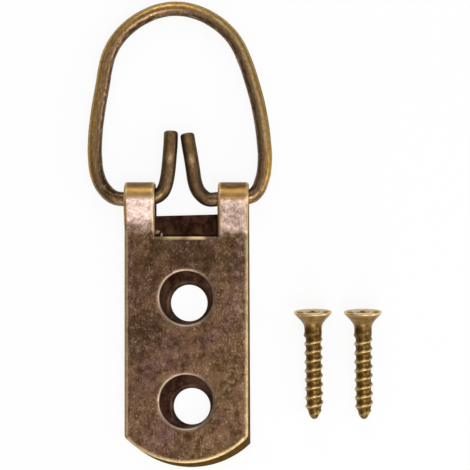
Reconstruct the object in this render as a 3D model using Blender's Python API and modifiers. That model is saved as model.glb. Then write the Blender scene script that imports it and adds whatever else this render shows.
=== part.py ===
"""Picture hanging hook: a strap folded round a loose wire D-ring, and its two wood screws.

The hanger lies on its back. +X is to the right, +Y towards the ring, +Z out of the front face.
The origin is on the back face, midway between the front leaf's two screw holes. Units are metres.
"""

import math
from typing import NamedTuple

import bmesh
import bpy
from mathutils import Matrix, Vector

# Sheet steel of the strap
STRAP_WIDTH = 0.0223
SHEET_THICKNESS = 0.0012
EDGE_ROUNDING = 0.00032
EDGE_ROUNDING_LIMIT_SHARE = 0.4
LEAF_GAP = 0.0001

# Wire of the ring, and the barrel that the sheet is rolled into round it
WIRE_DIAMETER = 0.0026
WIRE_CLEARANCE = 0.00038
RAMP_ANGLE = math.radians(33.0)
RAMP_BEND_RADIUS = 0.0025

# Window between the two ears of the fold
WINDOW_WIDTH = 0.01125
RAMP_FOOT_TO_WINDOW_EDGE = 0.0004
AXIS_TO_BACK_WINDOW_EDGE = 0.00304

# Screw holes and rounded end
AXIS_TO_FIRST_HOLE = 0.01795
HOLE_SPACING = 0.0187
LAST_HOLE_TO_END = 0.01112
END_RISE = 0.00473
END_CORNER_RADIUS = 0.0010
END_CORNER_RUN_OUT = math.radians(75.0)
HEAD_HOLE_DIAMETER = 0.00965
SCREW_HOLE_DIAMETER = 0.0066
COUNTERSINK_WIDTH = 0.0007
COUNTERSINK_HALF_ANGLE = math.radians(45.0)

# How far the press left the back leaf out of line with the front one
BACK_HOLES_OVERRUN = 0.00100
BACK_END_OVERRUN = 0.00082
BACK_LEAF_SHIFT = 0.00018
BACK_LEAF_LEAN = math.radians(0.3)
PUNCH_LEAN = math.radians(1.55)

# Ring. Its wire lies askew in the ears, by a share of its clearance there.
RING_OVERHANG = 0.004175
RING_REACH = 0.0343
PRONG_REACH = 0.0122
WIRE_ASKEW_SHARE = 0.474

# Wood screws
SCREW_LENGTH = 0.0196
SCREW_HEAD_DIAMETER = 0.0068
SCREW_HEAD_EDGE = 0.00022
SCREW_HEAD_CHAMFER = 0.00008
SCREW_HEAD_CONE_HALF_ANGLE = math.radians(43.0)
SCREW_NECK_DIAMETER = 0.0031
SCREW_NECK_FILLET = 0.0007
SCREW_NECK_LENGTH = 0.0012
SCREW_THREAD_DIAMETER = 0.00336
SCREW_POINT_LENGTH = 0.0024
SCREW_POINT_DIAMETER = 0.0009
RECESS_SPAN = 0.0034
RECESS_SLOT = 0.0008
RECESS_DEPTH = 0.0014
RECESS_FLOOR_SHARE = 0.45

# Where the screws lie beside the hanger
STRAP_TO_FIRST_SCREW = 0.01159
GAP_BETWEEN_HEADS = 0.00217
SCREW_RIM_Y = 0.00667
SCREW_YAW = math.radians(1.1)

# Fineness of the round shapes, and how far a cutter overruns what it cuts
BARREL_STEPS = 16
RAMP_BEND_STEPS = 4
END_ARC_STEPS = 10
END_CORNER_STEPS = 3
EDGE_ROUNDING_STEPS = 2
HOLE_SIDES = 40
WIRE_BEVEL_RESOLUTION = 4
WIRE_RESOLUTION = 4
SCREW_SIDES = 28
SMOOTH_BELOW = math.radians(30.0)
ROUNDED_ABOVE = math.radians(40.0)
CUT_OVERRUN = 0.001

# Colours and roughness of the metals
STRAP_COLOR = (0.175, 0.115, 0.075)
STRAP_ROUGHNESS = 0.42
WIRE_COLOR = (0.160, 0.120, 0.065)
WIRE_ROUGHNESS = 0.35
SCREW_COLOR = (0.33, 0.235, 0.105)
SCREW_ROUGHNESS = 0.34

# Derived sizes
WIRE_RADIUS = WIRE_DIAMETER / 2
BARREL_INNER_RADIUS = WIRE_RADIUS + WIRE_CLEARANCE
BARREL_OUTER_RADIUS = BARREL_INNER_RADIUS + SHEET_THICKNESS
BARREL_MIDDLE_RADIUS = (BARREL_INNER_RADIUS + BARREL_OUTER_RADIUS) / 2
AXIS_Y = HOLE_SPACING / 2 + AXIS_TO_FIRST_HOLE
AXIS_Z = BARREL_OUTER_RADIUS
BACK_LEAF_MIDDLE_Z = SHEET_THICKNESS / 2
FRONT_LEAF_BACK_Z = SHEET_THICKNESS + LEAF_GAP
FRONT_LEAF_MIDDLE_Z = FRONT_LEAF_BACK_Z + SHEET_THICKNESS / 2
FRONT_FACE_Z = FRONT_LEAF_BACK_Z + SHEET_THICKNESS
GAP_MIDDLE_Z = SHEET_THICKNESS + LEAF_GAP / 2
END_TO_AXIS = AXIS_TO_FIRST_HOLE + HOLE_SPACING + LAST_HOLE_TO_END
END_RADIUS = ((STRAP_WIDTH / 2) ** 2 + END_RISE ** 2) / (2 * END_RISE)
RING_WIDTH = STRAP_WIDTH + 2 * RING_OVERHANG
RING_TILT = math.asin((AXIS_Z - WIRE_RADIUS) / RING_REACH)

# Centre line of the ring's loop from the left ear round to the right one: shares of half RING_WIDTH
# across and of RING_REACH away from the barrel. The left shoulder is the tighter one.
LOOP_SHARES = (
    (-0.854, 0.006), (-0.960, 0.047), (-1.036, 0.112), (-1.070, 0.205), (-1.070, 0.318),
    (-1.038, 0.455), (-0.982, 0.603), (-0.953, 0.685), (-0.900, 0.768), (-0.799, 0.845),
    (-0.659, 0.909), (-0.483, 0.960), (-0.285, 0.992), (-0.074, 0.999), (0.132, 0.979),
    (0.318, 0.938), (0.475, 0.882), (0.595, 0.813), (0.676, 0.737), (0.783, 0.595),
    (0.861, 0.455), (0.912, 0.294), (0.922, 0.197), (0.887, 0.093), (0.803, 0.022),
)
# Centre lines of the turned-up ends: shares of half WINDOW_WIDTH across, and away from the barrel
# shares of WIRE_DIAMETER where they bend out of the ears, then of PRONG_REACH up to their tips.
LEFT_BEND_SHARES = ((-0.775, 0.399), (-0.680, 0.788), (-0.621, 1.258))
LEFT_PRONG_SHARES = ((-0.576, 0.401), (-0.534, 0.608), (-0.502, 0.814), (-0.490, 1.000))
RIGHT_BEND_SHARES = ((0.694, -0.070), (0.486, 0.235), (0.352, 0.638), (0.275, 1.121))
RIGHT_PRONG_SHARES = ((0.214, 0.416), (0.154, 0.593), (0.086, 0.770), (0.019, 0.965))


class Station(NamedTuple):
    """One cross line of the blank, where it lies once the sheet is folded."""

    y: float
    z: float
    drift: float
    slope: float
    opens_window: bool


def clear_scene():
    """Removes every object of the open file."""
    for old in list(bpy.data.objects):
        bpy.data.objects.remove(old, do_unlink=True)


def make_collection(name):
    """Returns a new collection linked to the scene."""
    collection = bpy.data.collections.new(name)
    bpy.context.scene.collection.children.link(collection)
    return collection


def make_material(name, color, roughness):
    """Returns a plain metal with the given colour and roughness."""
    material = bpy.data.materials.new(name)
    material.use_nodes = True
    shader = material.node_tree.nodes["Principled BSDF"]
    shader.inputs["Base Color"].default_value = (*color, 1.0)
    shader.inputs["Metallic"].default_value = 1.0
    shader.inputs["Roughness"].default_value = roughness
    return material


def add_mesh_object(name, bm, collection):
    """Turns a bmesh into an object in a collection."""
    mesh = bpy.data.meshes.new(name)
    bm.to_mesh(mesh)
    bm.free()
    made = bpy.data.objects.new(name, mesh)
    collection.objects.link(made)
    return made


def add_cutter(name, bm, cutters):
    """Adds a shape that only cuts others: drawn as wire and left out of renders."""
    bmesh.ops.recalc_face_normals(bm, faces=bm.faces)
    cutter = add_mesh_object(name, bm, cutters)
    cutter.display_type = "WIRE"
    cutter.hide_render = True
    return cutter


def cut(target, cutter):
    """Cuts one shape out of another."""
    boolean = target.modifiers.new("cut " + cutter.name, "BOOLEAN")
    boolean.operation = "DIFFERENCE"
    boolean.solver = "EXACT"
    boolean.object = cutter


def shade_round(target):
    """Shades smooth across every edge flatter than SMOOTH_BELOW."""
    target.data.shade_smooth()
    target.data.set_sharp_from_angle(angle=SMOOTH_BELOW)


def back_leaf_drift(distance):
    """Returns how far to the right the back leaf lies, so far below the barrel's axis."""
    return BACK_LEAF_SHIFT + distance * math.tan(BACK_LEAF_LEAN)


def punched_place(distance, overrun):
    """Returns the x and y of a punched feature of the back leaf, so far below the barrel's axis."""
    return distance * math.tan(PUNCH_LEAN), AXIS_Y - distance - overrun


def ramp_length():
    """Returns the straight part of the slope from the barrel's top down to the front leaf."""
    drop = AXIS_Z + BARREL_MIDDLE_RADIUS - FRONT_LEAF_MIDDLE_Z
    bends = (BARREL_MIDDLE_RADIUS + RAMP_BEND_RADIUS) * (1 - math.cos(RAMP_ANGLE))
    return (drop - bends) / math.sin(RAMP_ANGLE)


def barrel_stations():
    """Returns the cross lines rolled round the wire, from the back leaf over the top."""
    stations = []
    start = -math.pi / 2
    sweep = math.pi + RAMP_ANGLE
    for step in range(BARREL_STEPS + 1):
        share = step / BARREL_STEPS
        angle = start + sweep * share
        y = AXIS_Y + BARREL_MIDDLE_RADIUS * math.cos(angle)
        z = AXIS_Z + BARREL_MIDDLE_RADIUS * math.sin(angle)
        stations.append(Station(y, z, BACK_LEAF_SHIFT * (1 - share), 0.0, True))
    return stations


def ramp_bend_stations(barrel_end):
    """Returns the cross lines of the reverse bend at the foot of the ramp, down to the flat leaf."""
    bend_y = barrel_end.y - ramp_length() * math.cos(RAMP_ANGLE)
    level_y = bend_y - RAMP_BEND_RADIUS * math.sin(RAMP_ANGLE)
    stations = []
    for step in range(RAMP_BEND_STEPS + 1):
        angle = RAMP_ANGLE * (1 - step / RAMP_BEND_STEPS)
        y = level_y + RAMP_BEND_RADIUS * math.sin(angle)
        z = FRONT_LEAF_MIDDLE_Z + RAMP_BEND_RADIUS * (1 - math.cos(angle))
        stations.append(Station(y, z, 0.0, 0.0, True))
    return stations


def blank_stations():
    """Returns every cross line of the blank, from the back leaf's end to the front leaf's."""
    back_end = END_TO_AXIS + BACK_END_OVERRUN + CUT_OVERRUN
    back_window = AXIS_TO_BACK_WINDOW_EDGE
    stations = [
        Station(AXIS_Y - back_end, BACK_LEAF_MIDDLE_Z, back_leaf_drift(back_end), 0.0, False),
        Station(AXIS_Y - back_window, BACK_LEAF_MIDDLE_Z, back_leaf_drift(back_window),
                math.tan(PUNCH_LEAN), True),
    ]
    stations += barrel_stations()
    stations += ramp_bend_stations(stations[-1])
    stations += [
        Station(stations[-1].y - RAMP_FOOT_TO_WINDOW_EDGE, FRONT_LEAF_MIDDLE_Z, 0.0, 0.0, False),
        Station(AXIS_Y - END_TO_AXIS - CUT_OVERRUN, FRONT_LEAF_MIDDLE_Z, 0.0, 0.0, False),
    ]
    return stations


def folded_sheet(stations):
    """Returns the strap's middle surface: a flat grid with its window out, laid onto the stations."""
    columns = (-STRAP_WIDTH / 2, -WINDOW_WIDTH / 2, WINDOW_WIDTH / 2, STRAP_WIDTH / 2)
    bm = bmesh.new()
    bmesh.ops.create_grid(bm, x_segments=len(columns) - 1, y_segments=len(stations) - 1, size=1.0)
    bm.verts.ensure_lookup_table()
    window = []
    for face in bm.faces:
        rows = sorted({vert.index // len(columns) for vert in face.verts})
        lines = sorted({vert.index % len(columns) for vert in face.verts})
        if lines == [1, 2] and stations[rows[0]].opens_window:
            window.append(face)
    for vert in bm.verts:
        station = stations[vert.index // len(columns)]
        x = columns[vert.index % len(columns)]
        vert.co = Vector((x + station.drift, station.y + x * station.slope, station.z))
    bmesh.ops.delete(bm, geom=window, context="FACES")
    return bm


def half_end(half_width):
    """Returns the right half of a leaf's rounded end from its lowest point, about its arc's centre."""
    corner_x = half_width - END_CORNER_RADIUS
    corner_turn = math.asin(corner_x / (END_RADIUS - END_CORNER_RADIUS))
    corner_y = -(END_RADIUS - END_CORNER_RADIUS) * math.cos(corner_turn)
    points = []
    for step in range(END_ARC_STEPS):
        angle = corner_turn * step / END_ARC_STEPS
        points.append((END_RADIUS * math.sin(angle), -END_RADIUS * math.cos(angle)))
    for step in range(END_CORNER_STEPS + 1):
        angle = corner_turn + (END_CORNER_RUN_OUT - corner_turn) * step / END_CORNER_STEPS
        points.append((corner_x + END_CORNER_RADIUS * math.sin(angle),
                       corner_y - END_CORNER_RADIUS * math.cos(angle)))
    x, y = points[-1]
    reach = half_width + CUT_OVERRUN
    points.append((reach, y + (reach - x) * math.tan(END_CORNER_RUN_OUT)))
    points.append((reach, -END_RADIUS - 2 * CUT_OVERRUN))
    return points


def end_cutter(name, centre_x, end_y, half_width, low_z, high_z, cutters):
    """Adds the waste beyond a leaf's rounded end, its arc and rounded corners let into a slab."""
    right = half_end(half_width)
    left = [(-x, y) for x, y in reversed(right[1:])]
    points = [(centre_x + x, end_y + END_RADIUS + y) for x, y in left + right]
    outline = bpy.data.curves.new(name, "CURVE")
    outline.dimensions = "2D"
    outline.fill_mode = "BOTH"
    outline.extrude = (high_z - low_z) / 2
    spline = outline.splines.new("POLY")
    spline.points.add(len(points) - 1)
    for point, (x, y) in zip(spline.points, points):
        point.co = (x, y, 0.0, 1.0)
    spline.use_cyclic_u = True
    drawn = bpy.data.objects.new(name + "_outline", outline)
    drawn.location.z = (high_z + low_z) / 2
    cutters.objects.link(drawn)
    bpy.context.view_layer.update()
    bm = bmesh.new()
    solid = bpy.data.meshes.new_from_object(drawn.evaluated_get(bpy.context.evaluated_depsgraph_get()))
    bm.from_mesh(solid)
    bmesh.ops.transform(bm, matrix=drawn.matrix_world, verts=bm.verts)
    bmesh.ops.remove_doubles(bm, verts=bm.verts, dist=LEAF_GAP / 10)
    bpy.data.meshes.remove(solid)
    bpy.data.objects.remove(drawn)
    return add_cutter(name, bm, cutters)


def head_hole_cutter(name, x, y, cutters):
    """Adds the round punch of the front leaf, wide enough to let a screw's head through."""
    bm = bmesh.new()
    bmesh.ops.create_cone(bm, cap_ends=True, segments=HOLE_SIDES,
                          radius1=HEAD_HOLE_DIAMETER / 2, radius2=HEAD_HOLE_DIAMETER / 2,
                          depth=FRONT_FACE_Z + CUT_OVERRUN - GAP_MIDDLE_Z)
    lift = (FRONT_FACE_Z + CUT_OVERRUN + GAP_MIDDLE_Z) / 2
    bmesh.ops.translate(bm, verts=bm.verts, vec=(x, y, lift))
    return add_cutter(name, bm, cutters)


def turned_profile(name, points, sides, collection):
    """Adds a profile of (radius, height) points, turned round its own Z axis."""
    bm = bmesh.new()
    previous = None
    for radius, height in points:
        vert = bm.verts.new((radius, 0.0, height))
        if previous:
            bm.edges.new((previous, vert))
        previous = vert
    turned = add_mesh_object(name, bm, collection)
    screw = turned.modifiers.new("turn", "SCREW")
    screw.axis = "Z"
    screw.steps = sides
    screw.render_steps = sides
    screw.use_merge_vertices = True
    screw.merge_threshold = SCREW_HEAD_CHAMFER / 10
    return turned


def screw_hole_cutter(name, x, y, cutters):
    """Adds the back leaf's smaller punch with its countersink, open into the gap between leaves."""
    hole_radius = SCREW_HOLE_DIAMETER / 2
    rim_radius = hole_radius + COUNTERSINK_WIDTH
    sink = COUNTERSINK_WIDTH / math.tan(COUNTERSINK_HALF_ANGLE)
    profile = (
        (0.0, GAP_MIDDLE_Z),
        (rim_radius, GAP_MIDDLE_Z),
        (rim_radius, SHEET_THICKNESS),
        (hole_radius, SHEET_THICKNESS - sink),
        (hole_radius, -CUT_OVERRUN),
        (0.0, -CUT_OVERRUN),
    )
    cutter = turned_profile(name, profile, HOLE_SIDES, cutters)
    cutter.location = (x, y, 0.0)
    cutter.display_type = "WIRE"
    cutter.hide_render = True
    return cutter


def build_strap(parts, cutters):
    """Builds the strap: the sheet folded double round the wire, trimmed, punched and tumbled."""
    strap = add_mesh_object("folded_strap", folded_sheet(blank_stations()), parts)
    strap.data.materials.append(make_material("antique brass strap", STRAP_COLOR, STRAP_ROUGHNESS))
    solidify = strap.modifiers.new("sheet", "SOLIDIFY")
    solidify.thickness = SHEET_THICKNESS
    solidify.offset = 0.0
    solidify.use_even_offset = True

    cut(strap, end_cutter("front_end_waste", 0.0, AXIS_Y - END_TO_AXIS, STRAP_WIDTH / 2,
                          GAP_MIDDLE_Z, FRONT_FACE_Z + CUT_OVERRUN, cutters))
    end_x, end_centre_y = punched_place(END_TO_AXIS - END_RADIUS, BACK_END_OVERRUN)
    off_centre = abs(end_x - back_leaf_drift(END_TO_AXIS))
    cut(strap, end_cutter("back_end_waste", end_x, end_centre_y - END_RADIUS,
                          STRAP_WIDTH / 2 + off_centre, -CUT_OVERRUN, GAP_MIDDLE_Z, cutters))
    for number in range(2):
        distance = AXIS_TO_FIRST_HOLE + number * HOLE_SPACING
        cut(strap, head_hole_cutter(f"head_punch_{number + 1}", 0.0, AXIS_Y - distance, cutters))
        x, y = punched_place(distance, BACK_HOLES_OVERRUN)
        cut(strap, screw_hole_cutter(f"screw_punch_{number + 1}", x, y, cutters))

    bevel = strap.modifiers.new("tumbled edges", "BEVEL")
    bevel.width = min(EDGE_ROUNDING, EDGE_ROUNDING_LIMIT_SHARE * SHEET_THICKNESS)
    bevel.segments = EDGE_ROUNDING_STEPS
    bevel.limit_method = "ANGLE"
    bevel.angle_limit = ROUNDED_ABOVE
    bevel.use_clamp_overlap = False
    shade_round(strap)
    return strap


def ring_points():
    """Returns the ring's centre line in its own plane, from the left tip round to the right one."""
    half_window = WINDOW_WIDTH / 2
    half_strap = STRAP_WIDTH / 2
    half_ring = RING_WIDTH / 2
    middle = (half_window + half_strap) / 2
    askew = WIRE_ASKEW_SHARE * WIRE_CLEARANCE
    left = [(x * half_window, y * PRONG_REACH) for x, y in reversed(LEFT_PRONG_SHARES)]
    left += [(x * half_window, y * WIRE_DIAMETER) for x, y in reversed(LEFT_BEND_SHARES)]
    left += [(-half_window, askew), (-middle, 0.0), (-half_strap, -askew)]
    loop = [(x * half_ring, y * RING_REACH) for x, y in LOOP_SHARES]
    right = [(half_strap, askew), (middle, 0.0), (half_window, -askew)]
    right += [(x * half_window, y * WIRE_DIAMETER) for x, y in RIGHT_BEND_SHARES]
    right += [(x * half_window, y * PRONG_REACH) for x, y in RIGHT_PRONG_SHARES]
    return left + loop + right


def build_ring(parts):
    """Builds the ring: one bent wire, its origin on the barrel's axis, its far end on the surface."""
    points = ring_points()
    wire = bpy.data.curves.new("d_ring", "CURVE")
    wire.dimensions = "3D"
    wire.bevel_depth = WIRE_RADIUS
    wire.bevel_resolution = WIRE_BEVEL_RESOLUTION
    wire.resolution_u = WIRE_RESOLUTION
    wire.use_fill_caps = True
    spline = wire.splines.new("BEZIER")
    spline.bezier_points.add(len(points) - 1)
    for point, (x, y) in zip(spline.bezier_points, points):
        point.co = (x, y, 0.0)
        point.handle_left_type = "AUTO"
        point.handle_right_type = "AUTO"
    wire.materials.append(make_material("antique brass wire", WIRE_COLOR, WIRE_ROUGHNESS))
    ring = bpy.data.objects.new("d_ring", wire)
    ring.location = (0.0, AXIS_Y, AXIS_Z)
    ring.rotation_euler = (-RING_TILT, 0.0, 0.0)
    parts.objects.link(ring)
    return ring


def screw_profile():
    """Returns the screw's (radius, height) points from the middle of its head down to its tip."""
    head = SCREW_HEAD_DIAMETER / 2
    neck = SCREW_NECK_DIAMETER / 2
    thread = SCREW_THREAD_DIAMETER / 2
    point = SCREW_POINT_DIAMETER / 2
    edge_foot = -SCREW_HEAD_CHAMFER - SCREW_HEAD_EDGE
    cone_height = (head - neck) / math.tan(SCREW_HEAD_CONE_HALF_ANGLE)
    cone_foot = edge_foot - cone_height
    fillet_rise = SCREW_NECK_FILLET / 2
    neck_foot = cone_foot - SCREW_NECK_FILLET - SCREW_NECK_LENGTH
    point_top = SCREW_POINT_LENGTH - SCREW_LENGTH
    shoulder = thread - neck
    return (
        (0.0, 0.0),
        (head - SCREW_HEAD_CHAMFER, 0.0),
        (head, -SCREW_HEAD_CHAMFER),
        (head, edge_foot),
        (neck + fillet_rise * math.tan(SCREW_HEAD_CONE_HALF_ANGLE), cone_foot + fillet_rise),
        (neck, cone_foot - SCREW_NECK_FILLET),
        (neck, neck_foot),
        (thread, neck_foot - shoulder),
        (thread, point_top),
        ((thread + point) / 2 + shoulder, point_top - SCREW_POINT_LENGTH / 2),
        (point, shoulder - SCREW_LENGTH),
        (0.0, -SCREW_LENGTH),
    )


def slot_cutter(name, turn, cutters):
    """Adds one slot of the driver recess, narrowing towards its floor, turned about the Z axis."""
    bm = bmesh.new()
    bmesh.ops.create_cube(bm, size=1.0)
    for vert in bm.verts:
        if vert.co.z < 0.0:
            vert.co.x *= RECESS_FLOOR_SHARE
    stretch = Matrix.Diagonal((RECESS_SPAN, RECESS_SLOT, RECESS_DEPTH + CUT_OVERRUN, 1.0))
    sink = Matrix.Translation((0.0, 0.0, (CUT_OVERRUN - RECESS_DEPTH) / 2))
    spin = Matrix.Rotation(turn, 4, "Z")
    bmesh.ops.transform(bm, matrix=spin @ sink @ stretch, verts=bm.verts)
    return add_cutter(name, bm, cutters)


def screw_tilt():
    """Returns the angle at which a screw lies on its head's rim and on its thread."""
    rim_height = -SCREW_HEAD_CHAMFER - SCREW_HEAD_EDGE
    thread_end = SCREW_POINT_LENGTH - SCREW_LENGTH
    drop = (SCREW_HEAD_DIAMETER - SCREW_THREAD_DIAMETER) / 2
    return math.atan2(drop, rim_height - thread_end)


def build_screw(name, x, parts, cutters):
    """Builds a wood screw lying on its side, its head towards the ring."""
    screw = turned_profile(name, screw_profile(), SCREW_SIDES, parts)
    screw.data.materials.append(make_material("brassed " + name, SCREW_COLOR, SCREW_ROUGHNESS))
    rim_height = -SCREW_HEAD_CHAMFER - SCREW_HEAD_EDGE
    tilt = screw_tilt()
    lie = Matrix.Rotation(SCREW_YAW, 4, "Z") @ Matrix.Rotation(tilt - math.pi / 2, 4, "X")
    rim_centre_z = SCREW_HEAD_DIAMETER / 2 * math.cos(tilt)
    rim_offset = lie @ Vector((0.0, 0.0, rim_height))
    place = Matrix.Translation(Vector((x, SCREW_RIM_Y, rim_centre_z)) - rim_offset)
    screw.matrix_world = place @ lie
    for number in range(2):
        slot = slot_cutter(f"{name}_slot_{number + 1}", number * math.pi / 2, cutters)
        slot.matrix_world = place @ lie
        cut(screw, slot)
    shade_round(screw)
    return screw


def main():
    """Builds the hanger and its screws."""
    clear_scene()
    parts = make_collection("picture_hanging_hook")
    cutters = make_collection("cutters")
    build_strap(parts, cutters)
    build_ring(parts)
    screw_x = STRAP_WIDTH / 2 + STRAP_TO_FIRST_SCREW
    for side in ("left", "right"):
        build_screw("screw_" + side, screw_x, parts, cutters)
        screw_x += SCREW_HEAD_DIAMETER + GAP_BETWEEN_HEADS


main()
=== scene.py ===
"""Looks of the picture hanging hook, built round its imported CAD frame.

The hanger lies on its back: +X to the right, +Y towards the ring, +Z out of the front face.
The origin is on the back face, midway between the front leaf's two screw holes. Lengths are in
metres, apart from those whose name ends in mm. Wear goes from 0 to 1.
"""

import logging
import math
from dataclasses import dataclass
from enum import Enum, IntEnum
from typing import NamedTuple

import bmesh
import bpy
from mathutils import Matrix, Vector


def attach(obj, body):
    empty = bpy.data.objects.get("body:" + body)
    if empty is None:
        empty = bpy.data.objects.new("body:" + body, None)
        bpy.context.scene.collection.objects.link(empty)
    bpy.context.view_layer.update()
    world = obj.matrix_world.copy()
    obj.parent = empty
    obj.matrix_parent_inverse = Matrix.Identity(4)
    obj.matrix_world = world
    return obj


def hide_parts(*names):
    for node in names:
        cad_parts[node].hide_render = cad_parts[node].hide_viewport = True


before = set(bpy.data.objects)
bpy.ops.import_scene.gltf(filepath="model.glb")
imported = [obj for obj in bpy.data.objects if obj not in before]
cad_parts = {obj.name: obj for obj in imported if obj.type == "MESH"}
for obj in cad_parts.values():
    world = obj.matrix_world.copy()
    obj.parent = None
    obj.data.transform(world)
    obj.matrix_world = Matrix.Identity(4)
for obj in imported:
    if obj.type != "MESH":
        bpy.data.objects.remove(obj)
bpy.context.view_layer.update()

MM = 0.001

# Vertices nearer than the first are merged; edges that turn less than the second look smooth
MERGE = 0.000002
SMOOTH_BELOW = math.radians(32.0)
WHITE = (1.0, 1.0, 1.0, 1.0)

# Inputs of the Mix node when it mixes colours
MIX_FACTOR, MIX_A, MIX_B = 0, 6, 7

log = logging.getLogger("picture_hanging_hook")


def linear(hex_color: str) -> tuple[float, float, float, float]:
    """Turns an sRGB hex colour into Blender's linear one.

    Args:
        hex_color: six hex digits, without a hash.

    Returns:
        Linear red, green and blue, and an alpha of 1.
    """
    channels = []
    for start in (0, 2, 4):
        value = int(hex_color[start:start + 2], 16) / 255
        channels.append(value / 12.92 if value <= 0.04045 else ((value + 0.055) / 1.055) ** 2.4)
    return (*channels, 1.0)


def feed(node: bpy.types.Node, inputs: dict) -> None:
    """Sets or links the inputs of a node.

    Args:
        node: the node.
        inputs: for each input's name or number a value, a socket, or a node whose first output
            feeds it.
    """
    for key, value in inputs.items():
        if isinstance(value, bpy.types.Node):
            value = next(output for output in value.outputs if output.enabled)
        if isinstance(value, bpy.types.NodeSocket):
            node.id_data.links.new(value, node.inputs[key])
        else:
            node.inputs[key].default_value = value


def add_node(tree: bpy.types.NodeTree, kind: str, settings: dict | None = None,
             inputs: dict | None = None) -> bpy.types.Node:
    """Adds a node with its settings and with what feeds its inputs.

    Args:
        tree: the node tree that gets the node.
        kind: Blender's name for the type of node.
        settings: values of the node's own properties.
        inputs: what feeds its inputs, as feed takes it.

    Returns:
        The new node.
    """
    node = tree.nodes.new(kind)
    for name, value in (settings or {}).items():
        setattr(node, name, value)
    feed(node, inputs or {})
    return node


def layered(tree: bpy.types.NodeTree, color: tuple | bpy.types.Node, layers: tuple | list,
            fading: str = "LINEAR") -> bpy.types.Node:
    """Lays colours over one another, each where its mask lies past a level.

    Args:
        tree: the material's node tree.
        color: the lowest colour.
        layers: for each colour its mask, the mask's level where it starts to show, the level from
            which it shows most, the share that shows there, and the colour, as hex or a node.
        fading: how it comes in between the two levels.

    Returns:
        The node with the finished colour.
    """
    for mask, start, end, most, tint in layers:
        shown = add_node(tree, "ShaderNodeMapRange", {"interpolation_type": fading}, {
            "Value": mask, "From Min": start, "From Max": end, "To Max": most})
        over = linear(tint) if isinstance(tint, str) else tint
        color = add_node(tree, "ShaderNodeMix", {"data_type": "RGBA"}, {
            MIX_FACTOR: shown, MIX_A: color, MIX_B: over})
    return color


def add_mesh_object(name: str, bm: bmesh.types.BMesh) -> bpy.types.Object:
    """Turns a bmesh into an object of the scene.

    Args:
        name: the object's name.
        bm: its shape, which is freed.

    Returns:
        The new object, at the origin.
    """
    mesh = bpy.data.meshes.new(name)
    bm.to_mesh(mesh)
    bm.free()
    made = bpy.data.objects.new(name, mesh)
    bpy.context.scene.collection.objects.link(made)
    return made


def final_shape(source: bpy.types.Object, merge: float = MERGE) -> bmesh.types.BMesh:
    """Takes an object's shape, with its modifiers or as its curve is drawn.

    Args:
        source: the object, which is removed.
        merge: distance below which its vertices become one.

    Returns:
        The shape, its doubles merged.
    """
    bpy.context.view_layer.update()
    depsgraph = bpy.context.evaluated_depsgraph_get()
    finished = bpy.data.meshes.new_from_object(source.evaluated_get(depsgraph))
    bm = bmesh.new()
    bm.from_mesh(finished)
    bmesh.ops.remove_doubles(bm, verts=bm.verts, dist=merge)
    bpy.data.meshes.remove(finished)
    bpy.data.objects.remove(source)
    return bm


def cut(target: bpy.types.Object, cutters: list[bpy.types.Object],
        merge: float = MERGE) -> bmesh.types.BMesh:
    """Cuts shapes out of another with exact Booleans.

    Args:
        target: the shape that is cut, which is removed.
        cutters: the shapes that cut it, which are removed too.
        merge: distance below which vertices of the result become one.

    Returns:
        The cut shape.
    """
    for cutter in cutters:
        boolean = target.modifiers.new("cut " + cutter.name, "BOOLEAN")
        boolean.operation = "DIFFERENCE"
        boolean.solver = "EXACT"
        boolean.material_mode = "INDEX"
        boolean.object = cutter
    bm = final_shape(target, merge)
    for cutter in cutters:
        bpy.data.objects.remove(cutter)
    return bm


def turned(profile: tuple, sides: int) -> bmesh.types.BMesh:
    """Turns a profile round the Z axis.

    Args:
        profile: (radius, height) points, the first and last on the axis.
        sides: number of sides of the turned shape.

    Returns:
        The closed shape, its faces outwards.
    """
    bm = bmesh.new()
    verts = [bm.verts.new((radius, 0.0, height)) for radius, height in profile]
    edges = [bm.edges.new(pair) for pair in zip(verts, verts[1:])]
    bmesh.ops.spin(bm, geom=verts + edges, cent=(0, 0, 0), axis=(0, 0, 1), angle=math.tau,
                   steps=sides, use_merge=True)
    bmesh.ops.remove_doubles(bm, verts=bm.verts, dist=MERGE)
    bmesh.ops.recalc_face_normals(bm, faces=bm.faces)
    return bm


def verts_in(geom: list) -> list[bmesh.types.BMVert]:
    """Returns the vertices among what an operator made."""
    return [part for part in geom if isinstance(part, bmesh.types.BMVert)]


def clamped(value: float) -> float:
    """Returns the value, kept between 0 and 1."""
    return min(max(value, 0.0), 1.0)


def along(stations: tuple, place: float) -> float:
    """Reads a value between stations.

    Args:
        stations: (place, value) pairs in rising order.
        place: where the value is wanted.

    Returns:
        The value there, or that of the nearest end.
    """
    if place <= stations[0][0]:
        return stations[0][1]
    for (low, before), (high, after) in zip(stations, stations[1:]):
        if place < high:
            return before + (after - before) * (place - low) / (high - low)
    return stations[-1][1]


def dress(piece: bpy.types.Object, material: bpy.types.Material, node: str, body: str) -> None:
    """Shades a finished piece, gives it its metal, and sets it on its body for its CAD node.

    Args:
        piece: the finished piece.
        material: its metal.
        node: the CAD node that it replaces.
        body: the CAD body that it rides on.
    """
    piece.data.materials.clear()
    piece.data.materials.append(material)
    piece.data.shade_smooth()
    piece.data.set_sharp_from_angle(angle=SMOOTH_BELOW)
    weighted = piece.modifiers.new("flat faces stay flat", "WEIGHTED_NORMAL")
    weighted.keep_sharp = True
    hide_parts(node)
    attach(piece, body)
    log.info("%s: %d faces", piece.name, len(piece.data.polygons))


class Surface(IntEnum):
    """Kind of surface that a face of the strap is, kept as its material index while at work."""

    INNER = 0
    OUTER = 1
    WALL = 2
    ROLLED = 3
    TORN = 4


class Side(Enum):
    """Which of the two screws."""

    LEFT = "left"
    RIGHT = "right"


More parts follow.
